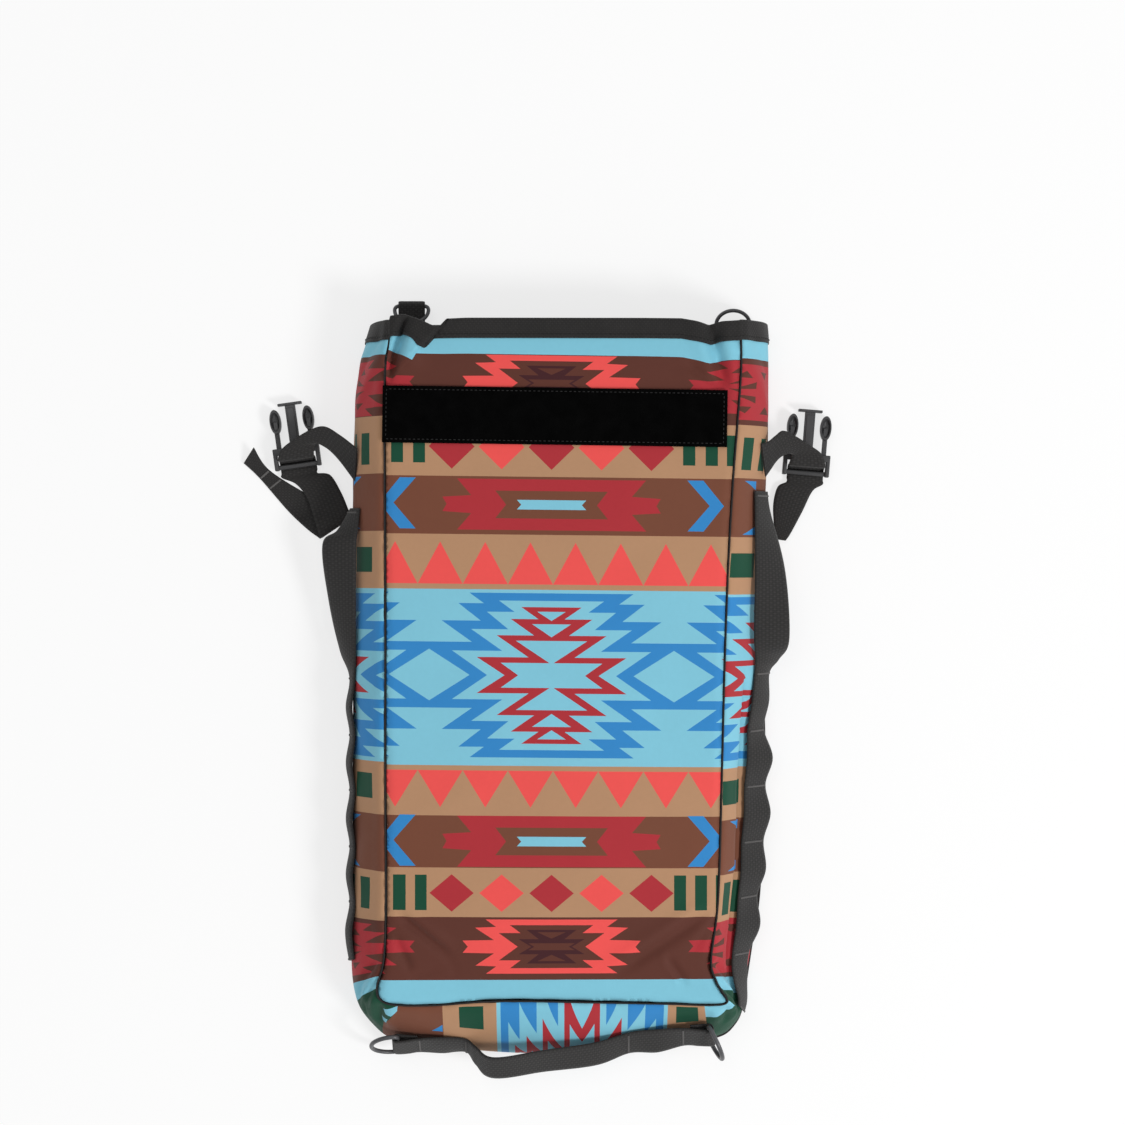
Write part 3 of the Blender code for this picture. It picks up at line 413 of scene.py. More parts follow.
# Rows of diamonds on the front: middle, half width and height, top and bottom of the green bars, and the bars
UPPER_DIAMONDS = (
    157.7, 15.3, 15.0, 167.2, 146.7,
    ((-107.1, -99.1), (-92.4, -84.4), (87.7, 95.9), (102.8, 111.0), (117.0, 125.0)),
)
LOWER_DIAMONDS = (
    -139.4, 14.8, 12.4, -127.4, -150.9,
    ((-105.8, -97.3), (-91.1, -83.3), (81.7, 89.7), (95.7, 103.7), (109.7, 117.5)),
)
# Green bars on the gusset's sides: middle and half height of each row, and the bars across it
LEFT_GREEN = (
    (157.4, 10.6, ((11.6, 21.2), (30.0, 39.7), (48.5, 58.2))),
    (83.1, 8.4, ((9.0, 28.0),)),
    (-68.6, 8.4, ((9.0, 28.0),)),
    (-141.0, 10.8, ((11.6, 21.2), (30.0, 39.7), (48.5, 58.2))),
)
RIGHT_GREEN = (
    (153.9, 10.9, ((5.0, 14.4), (23.6, 34.3), (42.5, 52.5))),
    (79.0, 8.2, ((1.0, 24.0),)),
    (-73.4, 8.0, ((1.0, 24.0),)),
    (-144.5, 10.9, ((5.0, 14.4), (23.6, 34.3), (42.5, 52.5))),
)
# Blue corners in the brown bands of the sides: top and bottom of each band, and where the corners start across
CORNER_WIDTH, CORNER_RISE = 15.0, 6.0
LEFT_CORNERS = ((139.0, 103.7, 21.5), (-89.0, -123.5, 21.5))
RIGHT_CORNERS = ((135.8, 99.6, 9.0), (-92.8, -126.2, 9.0))

# Upper left quarters of the figures, from the top to the middle line
FIELD_OUTER = (
    (-54.7, 54.8), (-45.1, 47.8), (-62.1, 47.8), (-47.2, 36.2), (-73.3, 36.2), (-53.1, 22.0), (-81.65, 22.0),
)
FIELD_INNER = (
    (-35.0, 49.7), (-24.6, 42.2), (-43.0, 42.2), (-28.8, 30.6), (-53.6, 30.6), (-32.9, 16.2), (-66.4, 16.2),
    (-43.0, 0.0),
)
FIELD_DIAMOND = ((0.0, 17.2), (-27.0, 0.0))
STAR_OUTER = (
    (-20.1, 45.5), (-8.7, 37.5), (-27.2, 37.5), (-11.6, 26.6), (-36.6, 26.6), (-15.3, 12.0), (-49.9, 12.0),
    (-31.3, 0.0),
)
STAR_MIDDLE = ((-33.9, 8.3), (-22.3, 0.0))
STAR_WEDGES = ((9.5, 42.5, 36.4), (13.0, 34.2, 25.5), (23.8, 23.1, 7.4))
BAR_OUTER = ((-63.0, 17.0), (-53.6, 6.0), (-72.8, 4.8), (-70.0, 0.0))
BAR_INNER = ((-37.5, 9.2), (-30.3, 0.0))
BAR_MIDDLE = ((-23.1, 3.2), (-20.2, 0.0))
CHEVRON = ((-101.3, 17.4), (-90.6, 17.4), (-105.5, 0.5), (-90.7, -16.6), (-101.3, -16.6), (-115.0, 0.5))
FRAME_OUTER = ((-44.0, 18.6), (-37.0, 13.6), (-51.0, 13.0), (-38.5, 4.6), (-59.4, 4.2), (-56.0, 0.0))
FRAME_INNER = ((-27.8, 14.8), (-20.7, 9.4), (-35.2, 9.4), (-22.6, 0.0))
CORE_OUTER = ((-16.6, 11.6), (-8.6, 5.2), (-22.0, 5.2), (-13.6, 0.0))
CORE_WEDGE = ((-9.5, 10.0), (9.5, 10.0), (0.0, 5.6))
CORE_MIDDLE = ((-15.5, 2.4), (15.5, 2.4), (11.5, 0.0), (15.5, -2.4), (-15.5, -2.4), (-11.5, 0.0))
SIDE_OUTER = ((-52.0, 18.6), (-45.5, 13.4), (-59.8, 12.6), (-47.5, 4.6), (-71.8, 4.0), (-68.5, 0.0))
SIDE_INNER = (
    ((-37.0, 14.2), (-33.0, 9.6), (-43.5, 9.6)),
    ((-26.0, 14.2), (-14.0, 14.2), (-21.0, 9.0)),
    ((-45.0, 1.6), (-30.0, 7.2), (-30.0, 2.6)),
)


def whole(quarter):
    """The closed outline of a figure from its upper left quarter, listed from the top to the middle line."""
    left = list(quarter) + [(x, -y) for x, y in reversed(quarter) if y]
    outline = left + [(-x, y) for x, y in reversed(left)]
    return [p for i, p in enumerate(outline) if p != outline[i - 1]]


def moved(points, x, y, flip=1, way=1):
    return [(x + px * flip, y + py * way) for px, py in points]


def figure(x, y, *layers):
    """Shapes on one middle, each from its ink and upper left quarter. A later one covers those before it."""
    return [(ink, moved(whole(quarter), x, y)) for ink, quarter in layers]


def mirrored(ink, points, x, y, flips=(1, -1), ways=(1, -1)):
    """One small shape on both sides of a figure's middle lines."""
    return [(ink, moved(points, x, y, flip, way)) for flip in flips for way in ways]


def box(ink, x0, x1, y0, y1):
    return ink, [(x0, y0), (x1, y0), (x1, y1), (x0, y1)]


def field_figures(x, y, repeats):
    """The large stepped figures of the light blue field, side by side, with a diamond between each two."""
    middles = [x + i * FIELD_PITCH for i in repeats]
    shapes = [("blue", moved(whole(FIELD_OUTER), middle, y)) for middle in middles]
    for middle in middles:
        shapes += figure(middle, y, ("light_blue", FIELD_INNER))
        for side in (-1, 1):
            shapes += figure(middle + side * FIELD_PITCH / 2, y, ("light_blue", FIELD_DIAMOND))
        shapes += figure(middle, y, ("dark_red", STAR_OUTER), ("light_blue", STAR_MIDDLE))
        for half, base, tip in STAR_WEDGES:
            shapes += mirrored("light_blue", ((-half, base), (half, base), (0, tip)), middle, y, flips=(1,))
    return shapes


def bar_figures(x, y):
    """The long dark red figure of a brown band, with a chevron at each end."""
    shapes = figure(x, y, ("dark_red", BAR_OUTER), ("brown", BAR_INNER), ("light_blue", BAR_MIDDLE))
    return shapes + mirrored("blue", CHEVRON, x, y, ways=(1,))


def frame_figures(x, y):
    """The coral frame and dark core of a dark brown band, with a dark red figure on either side."""
    shapes = figure(x, y, ("coral", FRAME_OUTER), ("dark_brown", FRAME_INNER), ("maroon", CORE_OUTER))
    shapes.append(("dark_brown", moved(CORE_MIDDLE, x, y)))
    shapes += mirrored("dark_brown", CORE_WEDGE, x, y, flips=(1,))
    return shapes + side_figures(x - FIELD_PITCH, y) + side_figures(x + FIELD_PITCH, y)


def side_figures(x, y):
    """The dark red figure between two coral frames, with small dark notches in it."""
    shapes = figure(x, y, ("dark_red", SIDE_OUTER))
    for notch in SIDE_INNER:
        shapes += mirrored("dark_brown", notch, x, y)
    return shapes


def tan_figures(x, row):
    """A row of diamonds with green bars beside them, in a tan band."""
    middle, half, tall, top, bottom, bars = row
    diamond = ((0, tall), (half, 0), (0, -tall), (-half, 0))
    shapes = []
    for i in range(-2, 3):
        shapes.append(("coral" if i % 2 else "dark_red", moved(diamond, x + i * DIAMOND_PITCH, middle)))
    return shapes + [box("green", x + near, x + far, top, bottom) for near, far in bars]


def triangle_row(base, tip):
    """A row of coral triangles standing on base and pointing to tip."""
    shapes = []
    for i in range(TRIANGLES):
        x = PRINT_X + 1.0 + (i - (TRIANGLES - 1) / 2) * TRIANGLE_PITCH
        shapes.append(("coral", [(x - TRIANGLE_HALF, base), (x + TRIANGLE_HALF, base), (x, tip)]))
    return shapes


def skewed(points):
    """The points of the print where they lie on the front, a little askew and moved by the lip's folds."""
    out = []
    for x, y in points:
        y = y - x * float(np.interp(y, *zip(*PRINT_TILTS)))
        out.append((x, y + float(cloth_shift(x, y))))
    return out


def band_shapes(bands, across):
    """Bands of colour one below the other."""
    shapes, above = [], PRINT_TOP
    for below, ink in bands:
        shapes.append(box(ink, *across, above, below))
        above = below
    return shapes


def front_print():
    shapes = band_shapes(FRONT_BANDS, ACROSS_FRONT)
    shapes += frame_figures(PRINT_X, TOP_FIGURE_Y) + tan_figures(PRINT_X, UPPER_DIAMONDS)
    shapes += bar_figures(PRINT_X, UPPER_BAND_Y) + triangle_row(66.2, 94.2)
    shapes += field_figures(PRINT_X, FIELD_Y, (-1, 1, 0)) + triangle_row(-58.0, -82.5)
    shapes += bar_figures(PRINT_X, LOWER_BAND_Y) + tan_figures(PRINT_X, LOWER_DIAMONDS)
    return shapes + frame_figures(PRINT_X, BOTTOM_FIGURE_Y)


def side_print(distance_of, bands, axis, field_y, figures_y, rows, corners):
    """The print of one side of the gusset, as shapes in distance along it and across it.

    axis is how far across the gusset the figures have their middle line.
    """
    shapes = band_shapes(bands, ACROSS_GUSSET)
    figures = field_figures(0, field_y, (0, 1))
    for y in figures_y:
        figures += side_figures(0, y)
    shapes += [(ink, [(axis + x / GUSSET_PRINT_SCALE, y) for x, y in points]) for ink, points in figures]
    for y, half, bars in rows:
        shapes += [box("green", near, far, y + half, y - half) for near, far in bars]
    for top, bottom, start in corners:
        for y, inward in ((top, -CORNER_RISE), (bottom, CORNER_RISE)):
            end = start + CORNER_WIDTH
            shapes.append(("blue", [(start, y), (end, y), (end, y + inward)]))
    return [(ink, [(float(distance_of(y)), a) for a, y in points]) for ink, points in shapes]


def bottom_print():
    """The print of the gusset's bottom, where the strip runs sideways."""
    shapes, left = [], BOTTOM_START
    for right, ink in BOTTOM_BANDS:
        shapes.append(box(ink, left, right, *ACROSS_GUSSET))
        left = right
    shapes += [box("green", low, high, 1.5, 16.5) for low, high in BOTTOM_GREEN]
    shapes += BOTTOM_PATCHES
    for ink, points in field_figures(0, 17.7, (0,)):
        shapes.append((ink, [(y, BOTTOM_AXIS + x / GUSSET_PRINT_SCALE) for x, y in points]))
    return [(ink, [(float(bottom_distance(x)), a) for x, a in points]) for ink, points in shapes]


# Distances along the ridge at which the print of the sides ends
SIDE_ENDS = float(left_distance(LEFT_BANDS[-1][0])), float(right_distance(RIGHT_BANDS[-1][0]))


def gusset_print():
    left = LEFT_BANDS, LEFT_AXIS, 5.6, (198.0, -181.0), LEFT_GREEN, LEFT_CORNERS
    right = RIGHT_BANDS, RIGHT_AXIS, 3.0, (195.0, -178.0), RIGHT_GREEN, RIGHT_CORNERS
    shapes = side_print(left_distance, *left) + side_print(right_distance, *right)
    (start, end), (low, high) = SIDE_ENDS, ACROSS_GUSSET
    return shapes + [("green", [(start, low), (start, high), (end, high), (end, low)])] + bottom_print()


def edges_of(outline):
    return zip(outline, list(outline[1:]) + [outline[0]])


def inside(points, outline):
    """Which of the points are within the closed outline."""
    x, y = points[:, 0], points[:, 1]
    found = np.zeros(len(points), bool)
    for (x0, y0), (x1, y1) in edges_of(outline):
        if y0 != y1:
            found ^= ((y0 > y) != (y1 > y)) & (x < x0 + (x1 - x0) * (y - y0) / (y1 - y0))
    return found


def split_edges(outline, step):
    """The closed outline with more points on its long edges."""
    out = []
    for a, b in edges_of(outline):
        a, b = np.array(a, float), np.array(b, float)
        parts = max(1, math.ceil(np.linalg.norm(b - a) / step))
        out += [tuple(a + (b - a) * i / parts) for i in range(parts)]
    return out


def cut_sheet(outline, shapes, step, creases=()):
    """Flat cloth within the outline, cut along the edges of the print and along the creases.

    It returns the points, the triangles and the ink number of each triangle. A shape covers those before it.
    """
    outline = split_edges(outline, step)
    low, high = np.min(outline, axis=0), np.max(outline, axis=0)
    corners, edges = [], []
    for ring in [outline] + [split_edges(points, step) for _, points in shapes]:
        keep = ((np.array(ring) > low - 3 * step) & (np.array(ring) < high + 3 * step)).all(1)
        first, count = len(corners), len(ring)
        corners += ring
        for i in range(count):
            if keep[i] or keep[(i + 1) % count]:
                edges.append((first + i, first + (i + 1) % count))
    for crease in creases:
        first = len(corners)
        corners += [tuple(p) for p in crease]
        edges += [(first + i, first + i + 1) for i in range(len(crease) - 1)]
    fixed = len(corners)

    def cell(x, y):
        return round(x / step * 1.6), round(y / step * 1.6)

    taken = {cell(x, y) for x, y in corners}
    columns, rows = (range(math.ceil((high[k] - low[k]) / step)) for k in (0, 1))
    grid = [(low[0] + step * (i + 0.5 * (j % 2)), low[1] + step * j) for j in rows for i in columns]
    grid = np.array(grid)
    corners += [(x, y) for x, y in grid[inside(grid, outline)] if cell(x, y) not in taken]
    used = sorted({i for edge in edges for i in edge} | set(range(fixed, len(corners))))
    number = {old: new for new, old in enumerate(used)}
    flat = [Vector(corners[i]) for i in used]
    points, _, faces, *_ = delaunay_2d_cdt(flat, [(number[a], number[b]) for a, b in edges], [], 0, 1e-3)
    points = np.array([tuple(p) for p in points])
    faces = np.array([f for f in faces if len(f) == 3])
    centres = points[faces].mean(axis=1)
    within = inside(centres, outline)
    faces, centres = faces[within], centres[within]
    inks = np.zeros(len(faces), np.int32)
    for ink, shape in shapes:
        inks[inside(centres, shape)] = INKS.index(ink)
    used = np.unique(faces)
    order = np.zeros(len(points), int)
    order[used] = np.arange(len(used))
    return points[used], order[faces], inks


def mesh_from(name, points, faces, cloth=None):
    """A smooth mesh of points in millimetres. cloth holds each point's place in the flat cloth."""
    data = bpy.data.meshes.new(name)
    data.from_pydata([tuple(p) for p in np.asarray(points) * MM], [], [tuple(int(i) for i in f) for f in faces])
    data.shade_smooth()
    if cloth is not None:
        place = data.attributes.new("cloth", "FLOAT_VECTOR", "POINT")
        flat = np.zeros((len(points), 3), np.float32)
        flat[:, : cloth.shape[1]] = cloth * MM
        place.data.foreach_set("vector", flat.ravel())
    return data


def put(name, data, place=(0, 0, 0)):
    obj = bpy.data.objects.new(name, data)
    obj.location = place
    bpy.context.scene.collection.objects.link(obj)
    return obj


def add_piece(name, data, materials, body="bag", nodes=()):
    obj = put(name, data)
    for material in materials:
        data.materials.append(material)
    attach(obj, body)
    if nodes:
        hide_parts(*nodes)
    return obj


def add_cloth(name, places, flat, faces, inks, node, thickness):
    """A sheet of cloth, with its thickness and its black side inwards. With no inks it is black all over."""
    data = mesh_from(name, places, faces, flat)
    obj = add_piece(name, data, [lining_cloth()] if inks is None else ink_materials(), nodes=[node])
    solid = obj.modifiers.new("thickness", "SOLIDIFY")
    solid.thickness = thickness * MM
    solid.offset = -1.0
    solid.use_even_offset = False
    if inks is not None:
        data.polygons.foreach_set("material_index", inks)
        solid.material_offset = solid.material_offset_rim = len(INKS)


def settings():
    return bpy.context.scene.shovel_bag


def feed(tree, value, socket):
    """Links a value on to a socket, or sets it there where it is a plain one."""
    if isinstance(value, bpy.types.NodeSocket):
        tree.links.new(value, socket)
    else:
        socket.default_value = value


def add_node(tree, kind, group=None, **values):
    """A node of a kind, with values or links for its named inputs."""
    node = tree.nodes.new(kind)
    if group:
        node.node_tree = group
    for name, value in values.items():
        feed(tree, value, node.inputs[name])
    return node


def new_group(name, inputs, outputs):
    tree = bpy.data.node_groups.new(name, "ShaderNodeTree")
    for socket, kind, default in inputs:
        item = tree.interface.new_socket(name=socket, in_out="INPUT", socket_type=kind)
        if default is not None:
            item.default_value = default
    for socket, kind in outputs:
        tree.interface.new_socket(name=socket, in_out="OUTPUT", socket_type=kind)
    return tree, tree.nodes.new("NodeGroupInput"), tree.nodes.new("NodeGroupOutput")


def maths(tree, operation, *values):
    node = tree.nodes.new("ShaderNodeMath")
    node.operation = operation
    for value, socket in zip(values, node.inputs):
        feed(tree, value, socket)
    return node.outputs[0]


def scaled(tree, colour, gain):
    """The colour made lighter or darker by gain."""
    node = tree.nodes.new("ShaderNodeVectorMath")
    node.operation = "SCALE"
    feed(tree, colour, node.inputs[0])
    feed(tree, gain, node.inputs["Scale"])
    return node.outputs[0]


def add_bump(tree, shader, height, strength, depth):
    bump = add_node(tree, "ShaderNodeBump", Strength=strength, Distance=depth * MM, Height=height)
    feed(tree, bump.outputs["Normal"], shader.inputs["Normal"])


def flat_place(tree):
    """Each point's place in the flat cloth."""
    place = tree.nodes.new("ShaderNodeAttribute")
    place.attribute_name = "cloth"
    return place.outputs["Vector"]


def weave_group():
    """Plain weave: threads over and under each other."""
    if "Weave" in bpy.data.node_groups:
        return bpy.data.node_groups["Weave"]
    tree, given, out = new_group(
        "Weave",
        (
            ("Place", "NodeSocketVector", None),
            ("Across", "NodeSocketFloat", 0.5),
            ("Along", "NodeSocketFloat", 0.5),
        ),
        (("Height", "NodeSocketFloat"),),
    )
    split = add_node(tree, "ShaderNodeSeparateXYZ", Vector=given.outputs["Place"])
    waves = []
    for axis, pitch in (("X", "Across"), ("Y", "Along")):
        threads = maths(tree, "DIVIDE", split.outputs[axis], maths(tree, "MULTIPLY", given.outputs[pitch], MM))
        waves.append(maths(tree, "SINE", maths(tree, "MULTIPLY", threads, math.pi)))
    warp, weft = (maths(tree, "MULTIPLY", maths(tree, "ABSOLUTE", wave), 0.5) for wave in waves)
    crossing = maths(tree, "MULTIPLY", maths(tree, "MULTIPLY", *waves), 0.35)
    feed(tree, maths(tree, "ADD", maths(tree, "ADD", warp, weft), crossing), out.inputs["Height"])
    return tree


def mottle_group():
    """Uneven dye and handling: a colour made a little lighter and darker over the surface."""
    if "Mottle" in bpy.data.node_groups:
        return bpy.data.node_groups["Mottle"]
    tree, given, out = new_group(
        "Mottle",
        (
            ("Place", "NodeSocketVector", None),
            ("Colour", "NodeSocketColor", (0.5, 0.5, 0.5, 1)),
            ("Size", "NodeSocketFloat", 20.0),
            ("Amount", "NodeSocketFloat", 0.1),
        ),
        (("Colour", "NodeSocketColor"), ("Value", "NodeSocketFloat")),
    )
    values = []
    for factor, detail in ((1.0, 3.0), (14.0, 2.0)):
        scale = maths(tree, "MULTIPLY", given.outputs["Size"], factor)
        cloud = add_node(tree, "ShaderNodeTexNoise", Vector=given.outputs["Place"], Scale=scale, Detail=detail)
        values.append(maths(tree, "SUBTRACT", cloud.outputs["Fac"], 0.5))
    both = maths(tree, "ADD", values[0], maths(tree, "MULTIPLY", values[1], 0.5))
    gain = maths(tree, "ADD", maths(tree, "MULTIPLY", both, given.outputs["Amount"]), 1.0)
    feed(tree, scaled(tree, given.outputs["Colour"], gain), out.inputs["Colour"])
    feed(tree, both, out.inputs["Value"])
    return tree


def mottled(tree, place, colour, size, amount):
    return add_node(
        tree, "ShaderNodeGroup", mottle_group(), Place=place, Colour=(*colour[:3], 1), Size=size, Amount=amount
    )


def new_material(name, roughness, sheen=0.0, specular=0.5):
    made = bpy.data.materials.new(name)
    made.use_nodes = True
    shader = made.node_tree.nodes["Principled BSDF"]
    shader.inputs["Roughness"].default_value = roughness
    shader.inputs["Specular IOR Level"].default_value = specular
    if sheen:
        shader.inputs["Sheen Weight"].default_value = sheen
        shader.inputs["Sheen Roughness"].default_value = 0.5
    return made, made.node_tree, shader


def woven(name, colour, roughness, across, along_it, depth, mottle, sheen, painted_groove_shade=0.0):
    """A woven material that follows the flat cloth, with its thread pitches and its bump in millimetres, and
    painted shade that darkens its colour between the threads where that shade is asked for.
    """
    if name in bpy.data.materials:
        return bpy.data.materials[name]
    made, tree, shader = new_material(name, roughness, sheen, specular=0.3)
    place = flat_place(tree)
    shown = mottled(tree, place, colour, 22.0, mottle).outputs["Colour"]
    weave = add_node(tree, "ShaderNodeGroup", weave_group(), Place=place, Across=across, Along=along_it)
    height = weave.outputs["Height"]
    # Painted shade: the colour is darkened where the weave is low, between the threads, standing in for the
    # shade in those grooves.
    if painted_groove_shade:
        shade = maths(tree, "ADD", maths(tree, "MULTIPLY", height, painted_groove_shade), 1 - painted_groove_shade * 0.6)
        shown = scaled(tree, shown, shade)
    feed(tree, shown, shader.inputs["Base Color"])
    add_bump(tree, shader, height, 0.6, depth)
    return made


def ink_materials():
    colours = settings().inks
    made = [woven(f"print_{ink}", getattr(colours, ink), 0.72, 0.42, 0.42, 0.05, 0.10, 0.08) for ink in INKS]
    return made + [lining_cloth()]


def lining_cloth():
    return woven("black_lining", settings().trims.lining, 0.85, 0.55, 0.55, 0.08, 0.3, 0.05)


def webbing_cloth():
    # The last number is how strongly the colour is darkened between the ribs: painted shade.
    return woven("ribbed_webbing", settings().trims.webbing, 0.78, 2.6, 1.45, 0.3, 0.45, 0.1, 0.75)


def tape_cloth():
    # The last number is how strongly the colour is darkened between the ribs: painted shade.
    return woven("ribbed_tape", settings().trims.binding, 0.8, 1.3, 1.5, 0.25, 0.8, 0.1, 0.6)


def loop_pile():
    """Matte loop pile: small tangled loops."""
    if "looped_pile" in bpy.data.materials:
        return bpy.data.materials["looped_pile"]
    made, tree, shader = new_material("looped_pile", 1.0)
    shader.inputs["IOR"].default_value = 1.0
    place = flat_place(tree)
    mottle = mottled(tree, place, settings().trims.loop, 90.0, 1.2)
    feed(tree, mottle.outputs["Colour"], shader.inputs["Base Color"])
    cells = add_node(tree, "ShaderNodeTexVoronoi", Vector=place, Scale=1900.0)
    add_bump(tree, shader, cells.outputs["Distance"], 1.0, 0.35)
    return made


# Moulded and painted surfaces and threads: the trim colour, roughness, grain and depth of each
FINISHES = {
    "moulded_plastic": ("buckle", 0.42, 0.5, 0.03),
    "ring_finish": ("ring", 0.38, 0.6, 0.03),
    # The sewing thread is near black: partly the thread's own colour, partly painted shade of the groove along
    # the binding's stitches.
    "sewing_thread": ("thread", 0.7, 0.25, 0.05),
    "tack_thread": ("tacks", 0.7, 0.25, 0.05),
    # The seam finish is near black: partly the cloth's edge in the seam, partly painted shade of the front
    # seam's crease.
    "seam_edge": ("seam", 0.85, 0.4, 0.08),
}


def grained(name):
    """One of the finishes, with a fine grain and slightly uneven gloss."""
    if name in bpy.data.materials:
        return bpy.data.materials[name]
    trim, roughness, grain, depth = FINISHES[name]
    made, tree, shader = new_material(name, roughness)
    place = tree.nodes.new("ShaderNodeTexCoord").outputs["Object"]
    mottle = mottled(tree, place, getattr(settings().trims, trim), 60.0, 0.35)
    feed(tree, mottle.outputs["Colour"], shader.inputs["Base Color"])
    gloss = maths(tree, "MULTIPLY", mottle.outputs["Value"], 0.35)
    feed(tree, maths(tree, "ADD", gloss, roughness), shader.inputs["Roughness"])
    speckle = add_node(tree, "ShaderNodeTexNoise", Vector=place, Scale=1000.0 / grain)
    add_bump(tree, shader, speckle.outputs["Fac"], 0.4, depth)
    return made


def seam_outline(seam, inset, top):
    """The U of a seam in plan, moved in by inset, from its left end to its right end."""
    samples = along(seam, np.arange(LAST_STATION * 6 + 1) / 6)
    ahead = np.vstack([samples[1:], samples[-1:]])
    behind = np.vstack([samples[:1], samples[:-1]])
    run = unit((ahead - behind)[:, :2])
    points = samples[:, :2] + np.stack([-run[:, 1], run[:, 0]], axis=1) * inset
    keep = points[points[:, 1] < top - 2]
    return [(points[0, 0], top)] + [tuple(p) for p in keep] + [(points[-1, 0], top)]


def edge_distance(points, line):
    """Distance from each point to the nearest stretch of the line."""
    line = np.asarray(line, float)
    best = np.full(len(points), 1e9)
    for a, b in zip(line[:-1], line[1:]):
        run = b - a
        t = np.clip(((points - a) @ run) / max(run @ run, 1e-9), 0, 1)
        best = np.minimum(best, np.linalg.norm(points - (a + t[:, None] * run), axis=1))
    return best


def front_surface(x, y):
    """The outer face of the front cloth, with its folds, which end at the side seams."""
    left, right = sides_at(y)
    above = y - np.interp(x, BOTTOM_EDGE[:, 0], BOTTOM_EDGE[:, 1])
    loose = (1 - under_strip(x, y)) * smooth_step(np.minimum(np.minimum(x - left, right - x), above), 0.5, 4.0)
    soft = rumple(x, y, 55.0, 3.0) * 0.7
    soft += rumple(x, y, 19.0, 9.0) * 0.16
    folds = fold_heights(x, y, FRONT_FOLDS) + tuck_height(x, y) + soft * settings().cloth.rumple
    return front_middle(x, y) + CLOTH / 2 + loose * folds


def tuck_edges():
    """Two lines close together along the tuck, so that its wall is sharp."""
    (x0, y0), (x1, y1) = TUCK_LINE
    run = unit(np.array((x1 - x0, y1 - y0)))
    away = np.array((run[1], -run[0]))
    steps = np.arange(-2.0, 48.0, 1.5)[:, None]
    return [np.array(TUCK_LINE[0]) + run * steps + away * side for side in (-0.3, 0.3)]


def add_front():
    seam = seam_outline(FRONT_SEAM, SEAM_MARGIN, CLOTH_TOP)
    lip = [(x, CLOTH_TOP + float(lip_drop(x))) for x in np.linspace(seam[-1][0], seam[0][0], 120)[1:-1]]
    shapes = []
    for ink, points in front_print():
        step = CLOTH_STEP if max(y for _, y in points) > LIP_PRINT_Y else PLAIN_STEP
        shapes.append((ink, skewed(split_edges(points, step))))
    flat, faces, inks = cut_sheet(seam + lip, shapes, CLOTH_STEP, tuck_edges())
    x, y = flat.T
    near = edge_distance(flat, seam)
    ripple = 0.25 * np.sin(y / 2.9) * np.sin(x / 3.3 + y / 11.0)
    z = front_surface(x, y) - SEAM_DIP * np.exp(-((near / 2.2) ** 2)) + ripple * np.exp(-near / 5.0)
    places = np.stack([x, y, z], axis=1)
    add_cloth("front_cloth", places, flat, faces, inks, "front_panel", CLOTH)


# The left side shows its seam allowance beside the front seam, and the right side is pressed in by its webbing
ALLOWANCE_RISE = 0.55
ALLOWANCE_EDGE = (7.4, 8.4)
GROOVE_DEPTH, GROOVE_ACROSS, GROOVE_WIDTH = 4.6, 22.2, 2.4
# Folds of the gusset: distance from a corner along it, across it, and the same at the fold's end
CORNER_FOLDS = (
    ((-34, 2), (-8, 30), 3.0, -2.4),
    ((-22, 0), (4, 26), 3.0, 1.8),
    ((-10, 0), (2, 30), 2.6, -2.6),
    ((0, 0), (10, 28), 2.6, 1.8),
    ((12, 0), (16, 26), 3.0, -2.2),
    ((24, 0), (22, 22), 3.4, 1.4),
)
SIDE_FOLDS = (
    ((12, 10), (38, 34), 5.0, -1.6),
    ((30, 6), (58, 30), 5.0, 1.2),
    ((70, 44), (120, 20), 7.0, -0.9),
    ((250, 40), (330, 14), 9.0, -1.0),
    ((360, 16), (420, 46), 8.0, 0.9),
)


def gusset_lift(distance, across):
    """How far the gusset's outer face stands off its middle, with its puckers."""
    lift = np.full(len(distance), CLOTH / 2)
    corners = SIDE_ENDS[0] + 8, SIDE_ENDS[1] - 8
    for corner, way in zip(corners, (1, -1)):
        lift += fold_heights((distance - corner) * way, across, CORNER_FOLDS) * smooth_step(across, 0.5, 7.0)
    back = RIDGE_LENGTH - distance
    lift += fold_heights(distance, across, SIDE_FOLDS)
    lift += fold_heights(back, across, SIDE_FOLDS) * 0.8
    soft = rumple(distance, across, 42.0, 5.0) * 0.9 + rumple(distance, across, 14.0, 2.0) * 0.2
    lift += soft * settings().cloth.rumple
    held = smooth_step(back, 235, 250) * (1 - smooth_step(back, 455, 470))
    lift -= GROOVE_DEPTH * held * np.exp(-(((across - GROOVE_ACROSS) / GROOVE_WIDTH) ** 2))
    edge = np.minimum(across, GUSSET_WIDTH - across)
    pucker = 0.3 * np.sin(distance / 2.7) * np.sin(distance / 9.0 + 1.0)
    lift += pucker * np.exp(-edge / 5.0) - 1.1 * np.exp(-((edge / 2.0) ** 2))
    allowance = (distance < corners[0] - 10) & (distance > 40)
    return lift + ALLOWANCE_RISE * (1 - smooth_step(across, *ALLOWANCE_EDGE)) * allowance


def add_gusset():
    first, last = float(left_distance(CLOTH_TOP)), float(right_distance(CLOTH_TOP))
    outline = [(first, 0.0), (last, 0.0), (last, GUSSET_WIDTH), (first, GUSSET_WIDTH)]
    flat, faces, inks = cut_sheet(outline, gusset_print(), CLOTH_STEP + 0.2)
    places = on_gusset(*flat.T, gusset_lift(*flat.T))
    add_cloth("gusset_cloth", places, flat, faces[:, ::-1], inks, "gusset", CLOTH)


def back_middle(y):
    return BACK_CLOTH / 2 + BACK_LIFT * smooth_step(y, BACK_LIFT_FROM, BACK_LIFT_TO)


